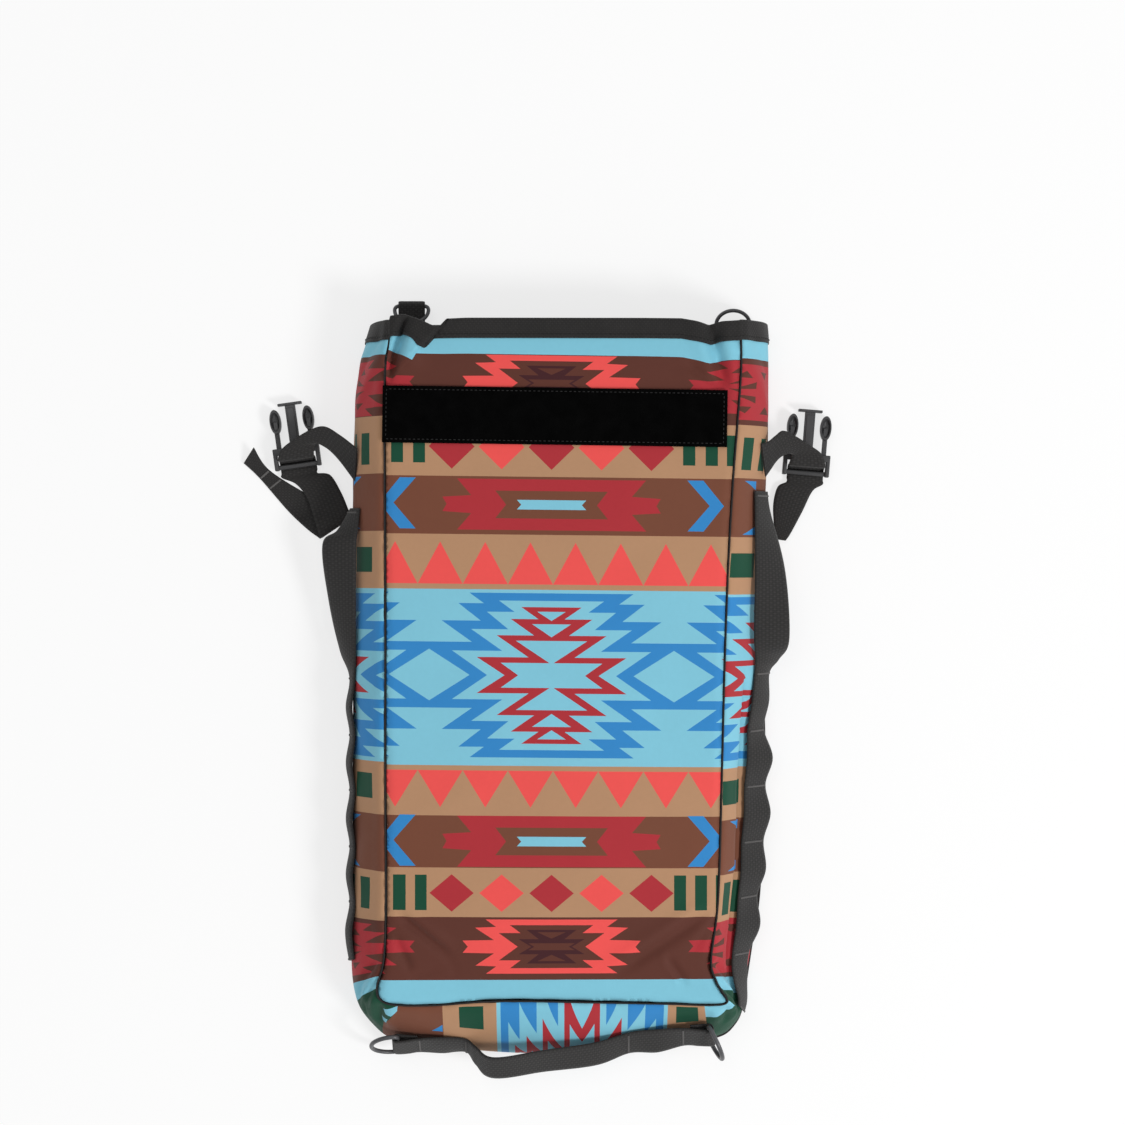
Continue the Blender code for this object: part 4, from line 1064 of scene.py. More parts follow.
def add_back():
    outline = seam_outline(BACK_SEAM, SEAM_MARGIN, CLOTH_TOP)
    flat, faces, _ = cut_sheet(outline, [("tan", outline)], BACK_STEP)
    x, y = flat.T
    near = edge_distance(flat, outline)
    soft = rumple(x, y, 40.0, 21.0) * 0.35 * smooth_step(near, 4, 30)
    z = back_middle(y) - BACK_CLOTH / 2 + np.maximum(soft, 0) + 0.6 * np.exp(-near / 3.0)
    places = np.stack([x, y, z], axis=1)
    add_cloth("back_cloth", places, flat, faces[:, ::-1], None, "back_panel", BACK_CLOTH)


def tube(name, points, radius, finish, node, closed=False, body="bag", sides=3):
    curve = bpy.data.curves.new(name, "CURVE")
    curve.dimensions = "3D"
    curve.bevel_depth = radius * MM
    curve.bevel_resolution = sides
    curve.use_fill_caps = not closed
    spline = curve.splines.new("POLY")
    spline.points.add(len(points) - 1)
    for target, point in zip(spline.points, points):
        target.co = (*(np.asarray(point) * MM), 1.0)
    spline.use_cyclic_u = closed
    spline.use_smooth = True
    add_piece(name, curve, [grained(finish)], body, [node])


# The cord at the back fills the gap between the gusset's edge and the back cloth
BACK_CORD_Z = 2.05
BACK_CORD_RADIUS = 1.4
# The front cord sinks between its cloths, more at the mouth's left and less at its bends near the lower corners
CORD_STEP = 1.6
CORD_SINK = 0.7
LIP_SINK = 2.6
SEAM_BENDS = ((109.5, -205.8), (-120.0, -204.5))
BEND_RISE = 1.3


def seam_points(seam):
    """The line of a seam's cord, with its points evenly spaced, from mouth to mouth."""
    line = along(seam, np.arange(LAST_STATION * 40 + 1) / 40)
    run = run_lengths(line)
    points = place_along(line, run, np.linspace(0, run[-1], max(2, round(run[-1] / CORD_STEP)))).T
    return points[points[:, 1] < MOUTH_Y - BINDING_DEPTH + 0.5]


def add_seams():
    front, back = seam_points(FRONT_SEAM), seam_points(BACK_SEAM)
    front[:, 2] -= CORD_SINK + LIP_SINK * smooth_step(front[:, 1], 206, 222) * (front[:, 0] < 0)
    for bend in SEAM_BENDS:
        away = np.linalg.norm(front[:, :2] - bend, axis=1)
        front[:, 2] += BEND_RISE * np.exp(-((away / 7.0) ** 2))
    back[:, 2] = BACK_CORD_Z
    # The front cord is near black: partly the cloth's edge in the seam, partly painted shade standing for the
    # dark crease between the front and the gusset.
    for side, points, radius in (("front", front, SEAM_RADIUS), ("back", back, BACK_CORD_RADIUS)):
        points[:, 2] += 0.1 * np.sin(np.arange(len(points)) * 1.3)
        tube(f"{side}_seam_cord", points, radius, "seam_edge", f"{side}_seam")


TAPE_DEPTHS = np.linspace(0.0, BINDING_DEPTH + 1.0, 9)
# How far the tape leans with the tuck, for each millimetre down
TAPE_SLANT = 0.926


def gusset_row(distance_of, across, depth):
    distance = np.full(len(across), float(distance_of(MOUTH_Y - 1.0 - depth)))
    return on_gusset(distance, across, gusset_lift(distance, across) - CLOTH / 2)


def mouth_grid():
    """The cloth's middle under the binding: columns round the mouth, and rows down from its edge.

    The columns run along the front from left to right, and back along the back from right to left.
    """
    rows = []
    left, right = FRONT_SEAM[0][0] + SEAM_MARGIN, FRONT_SEAM[-1][0] - SEAM_MARGIN
    edge_x = np.append(np.arange(left, right, 1.6), right)
    slant = TAPE_SLANT * np.exp(-(((edge_x - TUCK_LINE[0][0]) / 14.0) ** 2))
    across = np.linspace(0.0, GUSSET_WIDTH, 40)
    back_x = np.linspace(BACK_SEAM[-1][0] - 1, BACK_SEAM[0][0] + 1, 110)
    for depth in TAPE_DEPTHS:
        x, y = edge_x - depth * slant, MOUTH_Y - depth + lip_drop(edge_x)
        front = np.stack([x, y, front_surface(x, y) - CLOTH / 2], axis=1)
        back_y = np.full(len(back_x), MOUTH_Y - depth)
        back = np.stack([back_x, back_y, back_middle(back_y)], axis=1)
        right_side = gusset_row(right_distance, across, depth)
        left_side = gusset_row(left_distance, across[::-1], depth)
        rows.append(np.vstack([front, right_side, back, left_side]))
    return np.array(rows).transpose(1, 0, 2)


def ring_normals(grid):
    """The way out of a closed band of places, with its sharp turns softened a little."""
    ahead = np.roll(grid, -1, axis=0) - np.roll(grid, 1, axis=0)
    down = np.gradient(grid, axis=1)
    normals = unit(np.cross(ahead, down))
    for _ in range(3):
        normals = unit((np.roll(normals, 1, axis=0) + 2 * normals + np.roll(normals, -1, axis=0)) / 4)
    middle = grid.mean(axis=(0, 1))
    return normals if np.sum(normals[:, 0] * (grid[:, 0] - middle)) > 0 else -normals


def binding_profile():
    """The section of the folded tape, as pairs of the way out and the depth, closed."""
    outer, inner = BINDING_OUT, BINDING_OUT - TAPE
    down = [BINDING_DEPTH * share for share in (0.94, 0.75, 0.5, 0.25)]
    ring = [(outer * 0.86, BINDING_DEPTH + 0.3)] + [(outer, depth) for depth in down]
    ring += [(outer * math.cos(a), 0.4 - outer * math.sin(a)) for a in np.linspace(0, math.pi, 9)]
    ring += [(-outer, depth) for depth in down[::-1]] + [(-outer * 0.86, BINDING_DEPTH)]
    ring += [(-inner, depth) for depth in (BINDING_DEPTH - 0.3, BINDING_DEPTH * 0.5, 1.4)]
    ring += [(inner, depth) for depth in (1.4, BINDING_DEPTH * 0.5, BINDING_DEPTH - 0.3)]
    return np.array(ring)


def ring_faces(rings, around, closed=False):
    """Quads between neighbouring rings of points, each with the same number of points around it."""
    faces = []
    for i in range(rings if closed else rings - 1):
        here, there = i * around, (i + 1) % rings * around
        for j in range(around):
            k = (j + 1) % around
            faces.append((here + j, here + k, there + k, there + j))
    return faces


def add_binding():
    grid = mouth_grid()
    normals = ring_normals(grid)
    profile = binding_profile()
    run, around = run_lengths(grid[:, 0]), run_lengths(profile)
    points, cloth = [], []
    for i in range(len(grid)):
        edge_down = unit(grid[i, 1] - grid[i, 0])
        swell = 1 + 0.12 * noise.noise(Vector((run[i] / 7.0, 0.0, 4.0)))
        for j, (out, depth) in enumerate(profile):
            spot = place_along(grid[i], TAPE_DEPTHS, depth)
            up = unit(place_along(normals[i], TAPE_DEPTHS, depth))
            points.append(spot + up * out * swell + edge_down * min(depth, 0.0))
            cloth.append((run[i], around[j]))
    faces = ring_faces(len(grid), len(profile), closed=True)
    data = mesh_from("mouth_binding_tape", points, faces, np.array(cloth))
    fix_normals(data)
    add_piece("mouth_binding_tape", data, [tape_cloth()], nodes=["mouth_binding"])
    row = len(TAPE_DEPTHS) - 3
    seam = grid[:, row] + normals[:, row] * (BINDING_OUT + 0.08)
    # These near-black stitches stand partly for the shade in the groove along the tape's lower edge: painted
    # shade.
    add_stitches("mouth_stitches", seam, normals[:, row])


def fix_normals(data):
    mesh = bmesh.new()
    mesh.from_mesh(data)
    mesh_into(data, mesh)


def mesh_into(data, mesh):
    """Writes a bmesh into mesh data, with its faces turned outwards."""
    bmesh.ops.recalc_face_normals(mesh, faces=mesh.faces)
    mesh.to_mesh(data)
    mesh.free()
    data.shade_smooth()


def join_rings(mesh, rings):
    for a, b in zip(rings, rings[1:]):
        for k in range(len(a)):
            after = (k + 1) % len(a)
            mesh.faces.new((a[k], a[after], b[after], b[k]))


# Rings of a stitch: share of its length, share of its radius, and rise in radii
THREAD_RINGS = ((0.0, 0.35, -0.6), (0.14, 1.0, 0.35), (0.5, 1.0, 0.8), (0.86, 1.0, 0.35), (1.0, 0.35, -0.6))
THREAD_SIDES = 6


def add_thread(mesh, start, end, up):
    """One stitch: a short arched thread from start to end."""
    start, end, up = np.asarray(start), np.asarray(end), np.asarray(up)
    run = end - start
    side = unit(np.cross(run, up))
    rings = []
    for share, size, rise in THREAD_RINGS:
        centre = start + run * share + up * rise * THREAD
        ring = []
        for angle in (math.tau * k / THREAD_SIDES for k in range(THREAD_SIDES)):
            spot = centre + (side * math.cos(angle) + up * math.sin(angle)) * THREAD * size
            ring.append(mesh.verts.new(Vector(spot * MM)))
        rings.append(ring)
    join_rings(mesh, rings)
    mesh.faces.new(rings[0][::-1])
    mesh.faces.new(rings[-1])


def add_threads(name, threads, finish="tack_thread"):
    """One piece of many short threads, each given by its start, its end and the way out of the cloth."""
    mesh = bmesh.new()
    for start, end, up in threads:
        add_thread(mesh, start, end, up)
    data = bpy.data.meshes.new(name)
    mesh_into(data, mesh)
    add_piece(name, data, [grained(finish)])


def add_stitches(name, line, ups):
    """A closed row of stitches along a line, with the way out of the cloth at each of its points."""
    line, ups = np.vstack([line, line[:1]]), np.vstack([ups, ups[:1]])
    run = run_lengths(line)
    threads = []
    for start in np.arange(0, run[-1] - STITCH, STITCH):
        ends = (place_along(line, run, at) for at in (start, start + STITCH - STITCH_GAP))
        threads.append((*ends, unit(place_along(ups, run, start))))
    add_threads(name, threads, "sewing_thread")


def strip_place(u, v):
    cos, sin = math.cos(STRIP_TILT), math.sin(STRIP_TILT)
    return STRIP_CENTRE[0] + u * cos - v * sin, STRIP_CENTRE[1] + u * sin + v * cos


def pile_height(u, v):
    """The face of the loop strip: uneven like pile, rounded at its edge, and drawn in along its stitches."""
    edge = min(STRIP_WIDTH / 2 - abs(u), STRIP_HEIGHT / 2 - abs(v))
    fine, coarse = noise.noise(Vector((u / 1.1, v / 1.1, 7.0))), noise.noise(Vector((u / 14, v / 14, 1.0)))
    fuzz = 0.14 * fine + 0.2 * coarse
    groove = 0.5 * math.exp(-((edge - STITCH_INSET) / 0.6) ** 2)
    return STRIP_TOP - 0.55 * math.exp(-edge / 0.7) - groove + fuzz


def add_loop_strip():
    """The strip of loop pile: a soft-edged slab, sewn down all round."""
    half_w, half_h = STRIP_WIDTH / 2, STRIP_HEIGHT / 2
    columns, rows = round(STRIP_WIDTH / PILE_STEP), round(STRIP_HEIGHT / PILE_STEP)
    wide, layer = columns + 1, (rows + 1) * (columns + 1)
    flat = [(-half_w + PILE_STEP * i, -half_h + PILE_STEP * j) for j in range(rows + 1) for i in range(wide)]
    points = [(*strip_place(u, v), pile_height(u, v)) for u, v in flat]
    points += [(*strip_place(u, v), STRIP_TOP - STRIP_THICKNESS - 0.4) for u, v in flat]
    faces = []
    for first, turn in ((0, 1), (layer, -1)):
        for j in range(rows):
            for i in range(columns):
                a = first + j * wide + i
                faces.append((a, a + 1, a + wide + 1, a + wide)[::turn])
    rim = [(0, i) for i in range(columns)] + [(j, columns) for j in range(rows)]
    rim += [(rows, i) for i in range(columns, 0, -1)] + [(j, 0) for j in range(rows, 0, -1)]
    faces += [(b, a, a + layer, b + layer) for a, b in edges_of([j * wide + i for j, i in rim])]
    data = mesh_from("loop_strip_pile", points, faces, np.array(flat * 2))
    add_piece("loop_strip_pile", data, [loop_pile()], nodes=["loop_strip"])
    in_w, in_h = half_w - STITCH_INSET, half_h - STITCH_INSET
    corners = [(-in_w, -in_h), (in_w, -in_h), (in_w, in_h), (-in_w, in_h)]
    line = [(*strip_place(u, v), STRIP_TOP - 0.35) for u, v in split_edges(corners, 5.0)]
    add_stitches("loop_strip_stitches", line, [(0, 0, 1)] * len(line))


def strap(name, places, ups, node):
    """Webbing through a grid of places, rows along it and columns across it, with rounded edges.

    places holds its middle, and ups the way out of its face.
    """
    rows, columns = places.shape[:2]
    runs = run_lengths(places[:, columns // 2])
    widths = np.linspace(0, WEBBING_WIDTH, columns)
    half, ring = WEBBING / 2, columns * 2
    points, cloth = [], []
    for i in range(rows):
        for side, order in ((1, range(columns)), (-1, range(columns - 1, -1, -1))):
            for j in order:
                shrink = EDGE_SHARES.get(min(j, columns - 1 - j), 1.0)
                points.append(places[i, j] + ups[i, j] * half * side * shrink)
                cloth.append((widths[j], runs[i]))
    faces = ring_faces(rows, ring)
    for first in (0, (rows - 1) * ring):
        for j in range(columns - 1):
            faces.append((first + j, first + j + 1, first + ring - 2 - j, first + ring - 1 - j))
    data = mesh_from(name, points, faces, np.array(cloth))
    fix_normals(data)
    add_piece(name, data, [webbing_cloth()], nodes=[node])


def grid_normals(places):
    along_rows = np.gradient(places, axis=0)
    across = np.gradient(places, axis=1)
    return unit(np.cross(across, along_rows))


STRAP_COLUMNS = 13
# Thickness of the webbing at its edge and beside it, as a share of what it is elsewhere
EDGE_SHARES = {0: 0.55, 1: 1.04}
FLAT_LIFT = CLOTH / 2 + WEBBING / 2 + 2 * GAP
SLACK_LIFT = FLAT_LIFT + 2.2
TACK_PITCH = 38.0
TACK_WIDTH = 1.5
TACK_THREADS = 26


def lower_share(distance, w_upper, lift_upper, lift_lower):
    """How far down the gusset webbing reaches when its upper edge is at w_upper."""
    s = station_at(distance)
    top = above_gusset(s, w_upper, lift_upper)
    low, high = w_upper, 1.0
    for _ in range(20):
        middle = (low + high) / 2
        if np.linalg.norm(above_gusset(s, middle, lift_lower) - top) < WEBBING_WIDTH:
            low = middle
        else:
            high = middle
    return low


def gusset_strap(name, stations, rows, node):
    """Webbing on the gusset, through stations of distance, upper share, two lifts and how straight it runs."""
    numbers = []
    for distance, w_upper, lift_upper, lift_lower, straight in stations:
        w_lower = lower_share(distance, w_upper, lift_upper, lift_lower)
        numbers.append((distance, w_upper, w_lower, lift_upper, lift_lower, straight))
    u = np.linspace(0, len(numbers) - 1, rows)
    distance, w_upper, w_lower, lift_upper, lift_lower, straight = along(numbers, u).T
    s, straight = station_at(distance), straight[:, None]
    upper, lower = above_gusset(s, w_upper, lift_upper), above_gusset(s, w_lower, lift_lower)
    places = np.zeros((rows, STRAP_COLUMNS, 3))
    for j, share in enumerate(np.linspace(0, 1, STRAP_COLUMNS)):
        w, lift = w_upper + (w_lower - w_upper) * share, lift_upper + (lift_lower - lift_upper) * share
        flat = upper * (1 - share) + lower * share
        places[:, j] = above_gusset(s, w, lift) * (1 - straight) + flat * straight
    ups = grid_normals(places)
    middle = rows // 2, STRAP_COLUMNS // 2
    if np.sum(ups[middle] * (places[middle] - np.array(INSIDE_BAG))) <= 0:
        ups = -ups
    strap(name, places, ups, node)
    return places, ups, distance


# Loops and handles of the sides: distance from the mouth, upper share, lifts of the upper and lower edge
RIGHT_LOOPS = (
    (239, 0.45, FLAT_LIFT, 5.0), (258, 0.40, 2.7, 5.4), (277, 0.36, FLAT_LIFT, 2.8), (296, 0.36, 2.7, 10.5),
    (315, 0.36, FLAT_LIFT, 5.5), (334, 0.36, 2.7, 11.0), (353, 0.36, FLAT_LIFT, 6.4), (372, 0.36, 2.7, 9.8),
    (391, 0.36, FLAT_LIFT, 4.4), (410, 0.36, 2.7, 9.0), (429, 0.36, FLAT_LIFT, 2.9), (448, 0.32, 2.2, 2.6),
    (467, 0.33, FLAT_LIFT, FLAT_LIFT),
)


def daisy_chain(start, tacks, w_upper):
    """Stations of bar-tacked webbing: flat at each tack and slack between them."""
    stations = []
    for i in range(tacks):
        here = start + TACK_PITCH * i
        stations.append((here, w_upper, FLAT_LIFT, FLAT_LIFT))
        stations.append((here + TACK_PITCH / 2, w_upper, SLACK_LIFT, SLACK_LIFT + 0.6))
    return stations[:-1]


def bar_tack(places, ups, row):
    """The threads of one bar tack, packed side by side across the webbing."""
    threads = []
    line, up = places[row], ups[row]
    ahead = unit(places[min(row + 1, len(places) - 1)] - places[max(row - 1, 0)])
    for j in np.linspace(1.2, STRAP_COLUMNS - 2.2, TACK_THREADS):
        k, share = int(j), j - int(j)
        spot = line[k] * (1 - share) + line[k + 1] * share
        out = unit(up[k] * (1 - share) + up[k + 1] * share)
        start = spot + out * (WEBBING / 2 + 0.08) - ahead[k] * TACK_WIDTH / 2
        threads.append((start, start + ahead[k] * TACK_WIDTH, out))
    return threads


LEFT_HANDLE = (
    (128, 0.30, FLAT_LIFT, FLAT_LIFT), (143, 0.30, 3.5, 11.0), (153, 0.30, 4.5, 22.0), (188, 0.32, 4.0, 17.0),
    (225, 0.35, 3.0, 9.0),
)
RIGHT_HANDLE = (
    (115, 0.28, FLAT_LIFT, FLAT_LIFT), (130, 0.28, 3.0, 4.5), (169, 0.30, 4.0, 16.5), (212, 0.32, 4.5, 23.0),
    (229, 0.42, 3.0, 12.0),
)
# Bar tacks of the sides: distance of the small loops' first tack, how many there are, and the handle's tack
LEFT_TACKS = (244, 6, 131)
RIGHT_TACKS = (239, 7, 118)


def add_side_webbing():
    left = [*LEFT_HANDLE, *daisy_chain(*LEFT_TACKS[:2], 0.40)]
    right = [(RIDGE_LENGTH - from_mouth, *rest) for from_mouth, *rest in RIGHT_HANDLE + RIGHT_LOOPS]
    for side, stations, rows, (first, count, handle) in (
        ("left", left, 230, LEFT_TACKS),
        ("right", right, 250, RIGHT_TACKS),
    ):
        stations = [(*station, 0) for station in stations]
        places, ups, distance = gusset_strap(f"{side}_side_webbing", stations, rows, f"{side}_webbing")
        from_mouth = distance if side == "left" else RIDGE_LENGTH - distance
        threads = []
        for here in [first + TACK_PITCH * i for i in range(count)] + [handle]:
            threads += bar_tack(places, ups, int(np.argmin(np.abs(from_mouth - here))))
        add_threads(f"{side}_bar_tacks", threads)


BAR_LOOP = 2.7
RING_LIFT = FLAT_LIFT + 2.4
BAR_LIFT = RING_LIFT + BAR_LOOP
LEFT_RING_AT = 500.0
RIGHT_RING_AT = 712.0
BOTTOM_UPPER = {LEFT_RING_AT: 0.38, RIGHT_RING_AT: 0.22}
OUTER_LIFT = RING_LIFT + WEBBING + GAP
# Outer layer of the bottom webbing: distance from the left ring, upper share, two lifts and straightness
BOTTOM_STATIONS = (
    (7, 0.38, OUTER_LIFT + 2.0, OUTER_LIFT + 2.0, 1),
    (14, 0.38, OUTER_LIFT + 0.3, OUTER_LIFT + 0.3, 1),
    (30, 0.38, 3.8, 5.5, 0.5),
    (46, 0.38, FLAT_LIFT + 0.3, FLAT_LIFT + 0.3, 0),
    (54, 0.35, 9.0, 10.5, 0.5),
    (66, 0.34, 17.5, 19.5, 1),
    (98, 0.34, 11.0, 14.0, 1),
    (134, 0.32, 6.5, 10.5, 0.7),
    (157, 0.28, FLAT_LIFT + 0.6, 4.5, 0.5),
    (176, 0.25, 4.2, 8.0, 0.8),
    (194, 0.22, OUTER_LIFT + 0.3, OUTER_LIFT + 0.3, 1),
    (204, 0.22, OUTER_LIFT + 2.0, OUTER_LIFT + 2.0, 1),
)
BOTTOM_TACKS = (15, 46, 157, 193)
# Rows at each end of the bottom webbing that lie under its outer layer
INNER_ROWS = 60


def bar_wrap(ring_at, direction):
    """Stations that carry webbing round a ring's bar, from its inner layer to its outer one."""
    stations = []
    for i in range(9):
        angle = math.radians(-90 + 180 * i / 8)
        lift = BAR_LIFT + BAR_LOOP * math.sin(angle)
        distance = ring_at + direction * BAR_LOOP * math.cos(angle)
        stations.append((distance, BOTTOM_UPPER[ring_at], lift, lift, 1))
    return stations


def inner_end(ring_at, offsets):
    """Stations of the webbing's inner layer beside a ring."""
    return [(ring_at + offset, BOTTOM_UPPER[ring_at], RING_LIFT, RING_LIFT, 1) for offset in offsets]


def add_bottom_webbing():
    stations = inner_end(LEFT_RING_AT, (13, 5)) + bar_wrap(LEFT_RING_AT, -1)
    stations += [(LEFT_RING_AT + offset, *rest) for offset, *rest in BOTTOM_STATIONS]
    stations += bar_wrap(RIGHT_RING_AT, 1)[::-1] + inner_end(RIGHT_RING_AT, (-5, -13))
    places, ups, distance = gusset_strap("bottom_webbing_strap", stations, 330, "bottom_webbing")
    row = np.arange(len(distance))
    outermost = (row > INNER_ROWS) & (row < len(distance) - INNER_ROWS)
    threads = []
    for here in BOTTOM_TACKS:
        away = np.where(outermost, np.abs(distance - LEFT_RING_AT - here), 1e9)
        threads += bar_tack(places, ups, int(np.argmin(away)))
    add_threads("bottom_bar_tacks", threads)


BIG_RING = (15.0, 18.0, 1.5)
SMALL_RING = (11.6, 13.0, 1.3)
RING_CORNER = 3.0


def ring_path(half_bar, depth):
    """A D in the XY plane: the bar on the X axis and the bow towards +Y."""
    inset = half_bar - RING_CORNER
    points = [(x, 0.0, 0.0) for x in np.linspace(-inset, inset, 6)]
    for x, reach_x, reach_y, start, end, count in (
        (inset, RING_CORNER, RING_CORNER, -75, 0, 6),
        (0.0, half_bar, depth - RING_CORNER, 5, 175, 35),
        (-inset, RING_CORNER, RING_CORNER, 180, 255, 6),
    ):
        for angle in np.radians(np.linspace(start, end, count)):
            points.append((x + reach_x * math.cos(angle), RING_CORNER + reach_y * math.sin(angle), 0.0))
    return points


def axes_matrix(origin, x_axis, y_axis):
    x = Vector(x_axis).normalized()
    z = x.cross(Vector(y_axis)).normalized()
    matrix = Matrix((x, z.cross(x), z)).transposed().to_4x4()
    matrix.translation = Vector(origin) * MM
    return matrix


def gusset_bar(ring_at, distance):
    """The middle and direction of a bar across the gusset at a distance, as far up as the ring's own."""
    s, w_upper = station_at(distance), BOTTOM_UPPER[ring_at]
    w_lower = lower_share(distance, w_upper, BAR_LIFT, BAR_LIFT)
    top, bottom = (above_gusset(s, w, BAR_LIFT) for w in (w_upper, w_lower))
    return (top + bottom) / 2, top - bottom


TAB_WIDTH = 18.0
TAB_LOW_Z = BACK_CLOTH / 2 + BACK_LIFT + CLOTH / 2 + GAP + 0.25 + TAPE + GAP + WEBBING / 2
TAB_BAR_Z = TAB_LOW_Z + BAR_LOOP
TABS = (
    ("top_left", -99.0, 257.0, (0.12, -1.0, 0.42)),
    ("top_right", 121.5, 241.0, (0.1, 1.0, 0.25)),
)


def place_ring(node, shape, origin, bar, bow):
    matrix = axes_matrix(origin, bar, bow)
    half_bar, depth, wire = shape
    points = [(matrix @ (Vector(p) * MM)) / MM for p in ring_path(half_bar, depth)]
    tube(f"{node}_wire", points, wire, "ring_finish", node, closed=True, body=node, sides=5)


def add_rings():
    for node, ring_at, way, lean in (
        ("bottom_left_ring", LEFT_RING_AT, -1, 0.25),
        ("bottom_right_ring", RIGHT_RING_AT, 1, 3.5),
    ):
        middle, bar = gusset_bar(ring_at, ring_at)
        behind, _ = gusset_bar(ring_at, ring_at - way * 4)
        bow = unit(middle - behind) + gusset_normal(station_at(ring_at), 0.6) * lean
        place_ring(node, BIG_RING, middle, bar, bow)
    for name, x, bar_y, bow in TABS:
        place_ring(f"{name}_ring", SMALL_RING, (x, bar_y, TAB_BAR_Z), (1, 0, 0), bow)
        add_tab(name, x, bar_y)


def add_tab(name, x, bar_y):
    """A short tab inside a corner of the mouth, folded round the bar of its ring and sewn across."""
    start_y = bar_y - 30
    path = [(start_y, TAB_LOW_Z), (start_y + 12, TAB_LOW_Z), (bar_y - 6, TAB_LOW_Z)]
    for angle in np.radians(np.linspace(-90, 90, 7)):
        path.append((bar_y + BAR_LOOP * math.cos(angle), TAB_BAR_Z + BAR_LOOP * math.sin(angle)))
    doubled = TAB_LOW_Z + WEBBING + 2 * GAP
    path += [(bar_y - 7, doubled + 1.6), (bar_y - 16, doubled), (start_y, doubled)]
    line = along(path, np.linspace(0, len(path) - 1, 70))
    sides = np.linspace(-TAB_WIDTH / 2, TAB_WIDTH / 2, STRAP_COLUMNS)
    places = np.array([[(x + side, y, z) for side in sides] for y, z in line])
    strap(f"{name}_tab_webbing", places, -grid_normals(places), f"{name}_tab")
    top = doubled + WEBBING / 2 + 0.1
    threads = []
    for side in np.linspace(-7.5, 7.5, 22):
        threads.append(((x + side, bar_y - 17.2, top), (x + side, bar_y - 15, top), (0, 0, 1)))
    add_threads(f"{name}_tab_stitches", threads)


LEFT_BUCKLE = ((-177.1, 147.7, 5.2), (-0.139, 0.990))
RIGHT_BUCKLE = ((171.5, 142.5, 5.2), (0.080, 0.997))
BUCKLE_HALF = 16.0
LADDER_RAIL = 2.8
LADDER_LENGTH = 13.0
TALL = 3.6
LOW = 2.2
CROSSBAR_START = 8.4
BUCKLE_BAR_RADIUS = 1.6
GUIDE_HALF = 3.5
GUIDE_END = 43.0
HEAD_HALF = 8.25
PRONG_OFFSET = 11.4
STEM_HALF = 1.6
PADDLE_HALF = 3.8
PADDLE_CENTRE = 31.5
PADDLE_LENGTH = 17.0
PADDLE_SIDES = 28
# Rings of a paddle's face from its rim inwards: share of its reach, and height
PADDLE_RINGS = (
    (1.0, 0.0), (1.0, TALL - 0.6), (0.94, TALL), (0.78, TALL), (0.68, TALL - 1.6), (0.52, TALL - 2.8),
)
PADDLE_DISH = TALL - 3.2


def rounded_box(mesh, across, ahead, tall, radius):
    """A box with rounded edges, which reaches as far above the middle plane as below it."""
    made = bmesh.ops.create_cube(mesh, size=1.0)["verts"]
    low, high = (Vector((across[k], ahead[k], way * tall)) for k, way in ((0, -1), (1, 1)))
    for vertex in made:
        share = vertex.co + Vector((0.5, 0.5, 0.5))
        vertex.co = Vector([low[i] + (high[i] - low[i]) * share[i] for i in range(3)])
    edges = list({edge for vertex in made for edge in vertex.link_edges})
    bmesh.ops.bevel(mesh, geom=edges, offset=radius, segments=3, profile=0.6, affect="EDGES")


def add_paddle(mesh, x):
    """The rounded end of a prong, dished on both faces."""
    for way in (1, -1):
        rings = []
        for reach, height in PADDLE_RINGS:
            ring = []
            for angle in (math.tau * k / PADDLE_SIDES for k in range(PADDLE_SIDES)):
                ahead = PADDLE_CENTRE + PADDLE_LENGTH / 2 * reach * math.sin(angle)
                ring.append(mesh.verts.new((x + PADDLE_HALF * reach * math.cos(angle), ahead, height * way)))
            rings.append(ring)
        middle = mesh.verts.new((x, PADDLE_CENTRE, PADDLE_DISH * way))
        join_rings(mesh, rings)
        for a, b in edges_of(rings[-1]):
            mesh.faces.new((a, b, middle))
    bmesh.ops.remove_doubles(mesh, verts=mesh.verts, dist=1e-3)


def add_buckle(node, placing):
    """A male buckle half: ladder, guide and two sprung prongs."""
    mesh = bmesh.new()
    rounded_box(mesh, (-BUCKLE_HALF, BUCKLE_HALF), (CROSSBAR_START, LADDER_LENGTH), TALL, 0.7)
    for side in (-1, 1):
        rail = sorted((side * BUCKLE_HALF, side * (BUCKLE_HALF - LADDER_RAIL)))
        rounded_box(mesh, rail, (-2.0, LADDER_LENGTH - 0.6), TALL - 0.1, 0.8)
        stem = PRONG_OFFSET * side
        rounded_box(mesh, (stem - STEM_HALF, stem + STEM_HALF), (LADDER_LENGTH - 2, PADDLE_CENTRE), LOW, 0.5)
        add_paddle(mesh, stem)
    # Rear bar, guide, the rib along the guide and the head across its end
    for half, ahead, tall, radius in (
        (BUCKLE_HALF - 1, (-1.6, 1.6), 1.6, 1.1),
        (GUIDE_HALF, (LADDER_LENGTH - 2, GUIDE_END), LOW, 0.5),
        (GUIDE_HALF - 1.1, (LADDER_LENGTH + 2, GUIDE_END - 3), LOW + 0.5, 0.4),
        (HEAD_HALF, (GUIDE_END - 1.2, GUIDE_END + 0.6), TALL - 0.3, 0.5),
    ):
        rounded_box(mesh, (-half, half), ahead, tall, radius)
    origin, (fx, fy) = placing
    matrix = axes_matrix(origin, (fy, -fx, 0), (fx, fy, 0))
    for vertex in mesh.verts:
        vertex.co = matrix @ (vertex.co * MM)
    data = bpy.data.meshes.new(f"{node}_half")
    mesh_into(data, mesh)
    data.set_sharp_from_angle(angle=math.radians(40))
    add_piece(f"{node}_half", data, [grained("moulded_plastic")], node, [node])


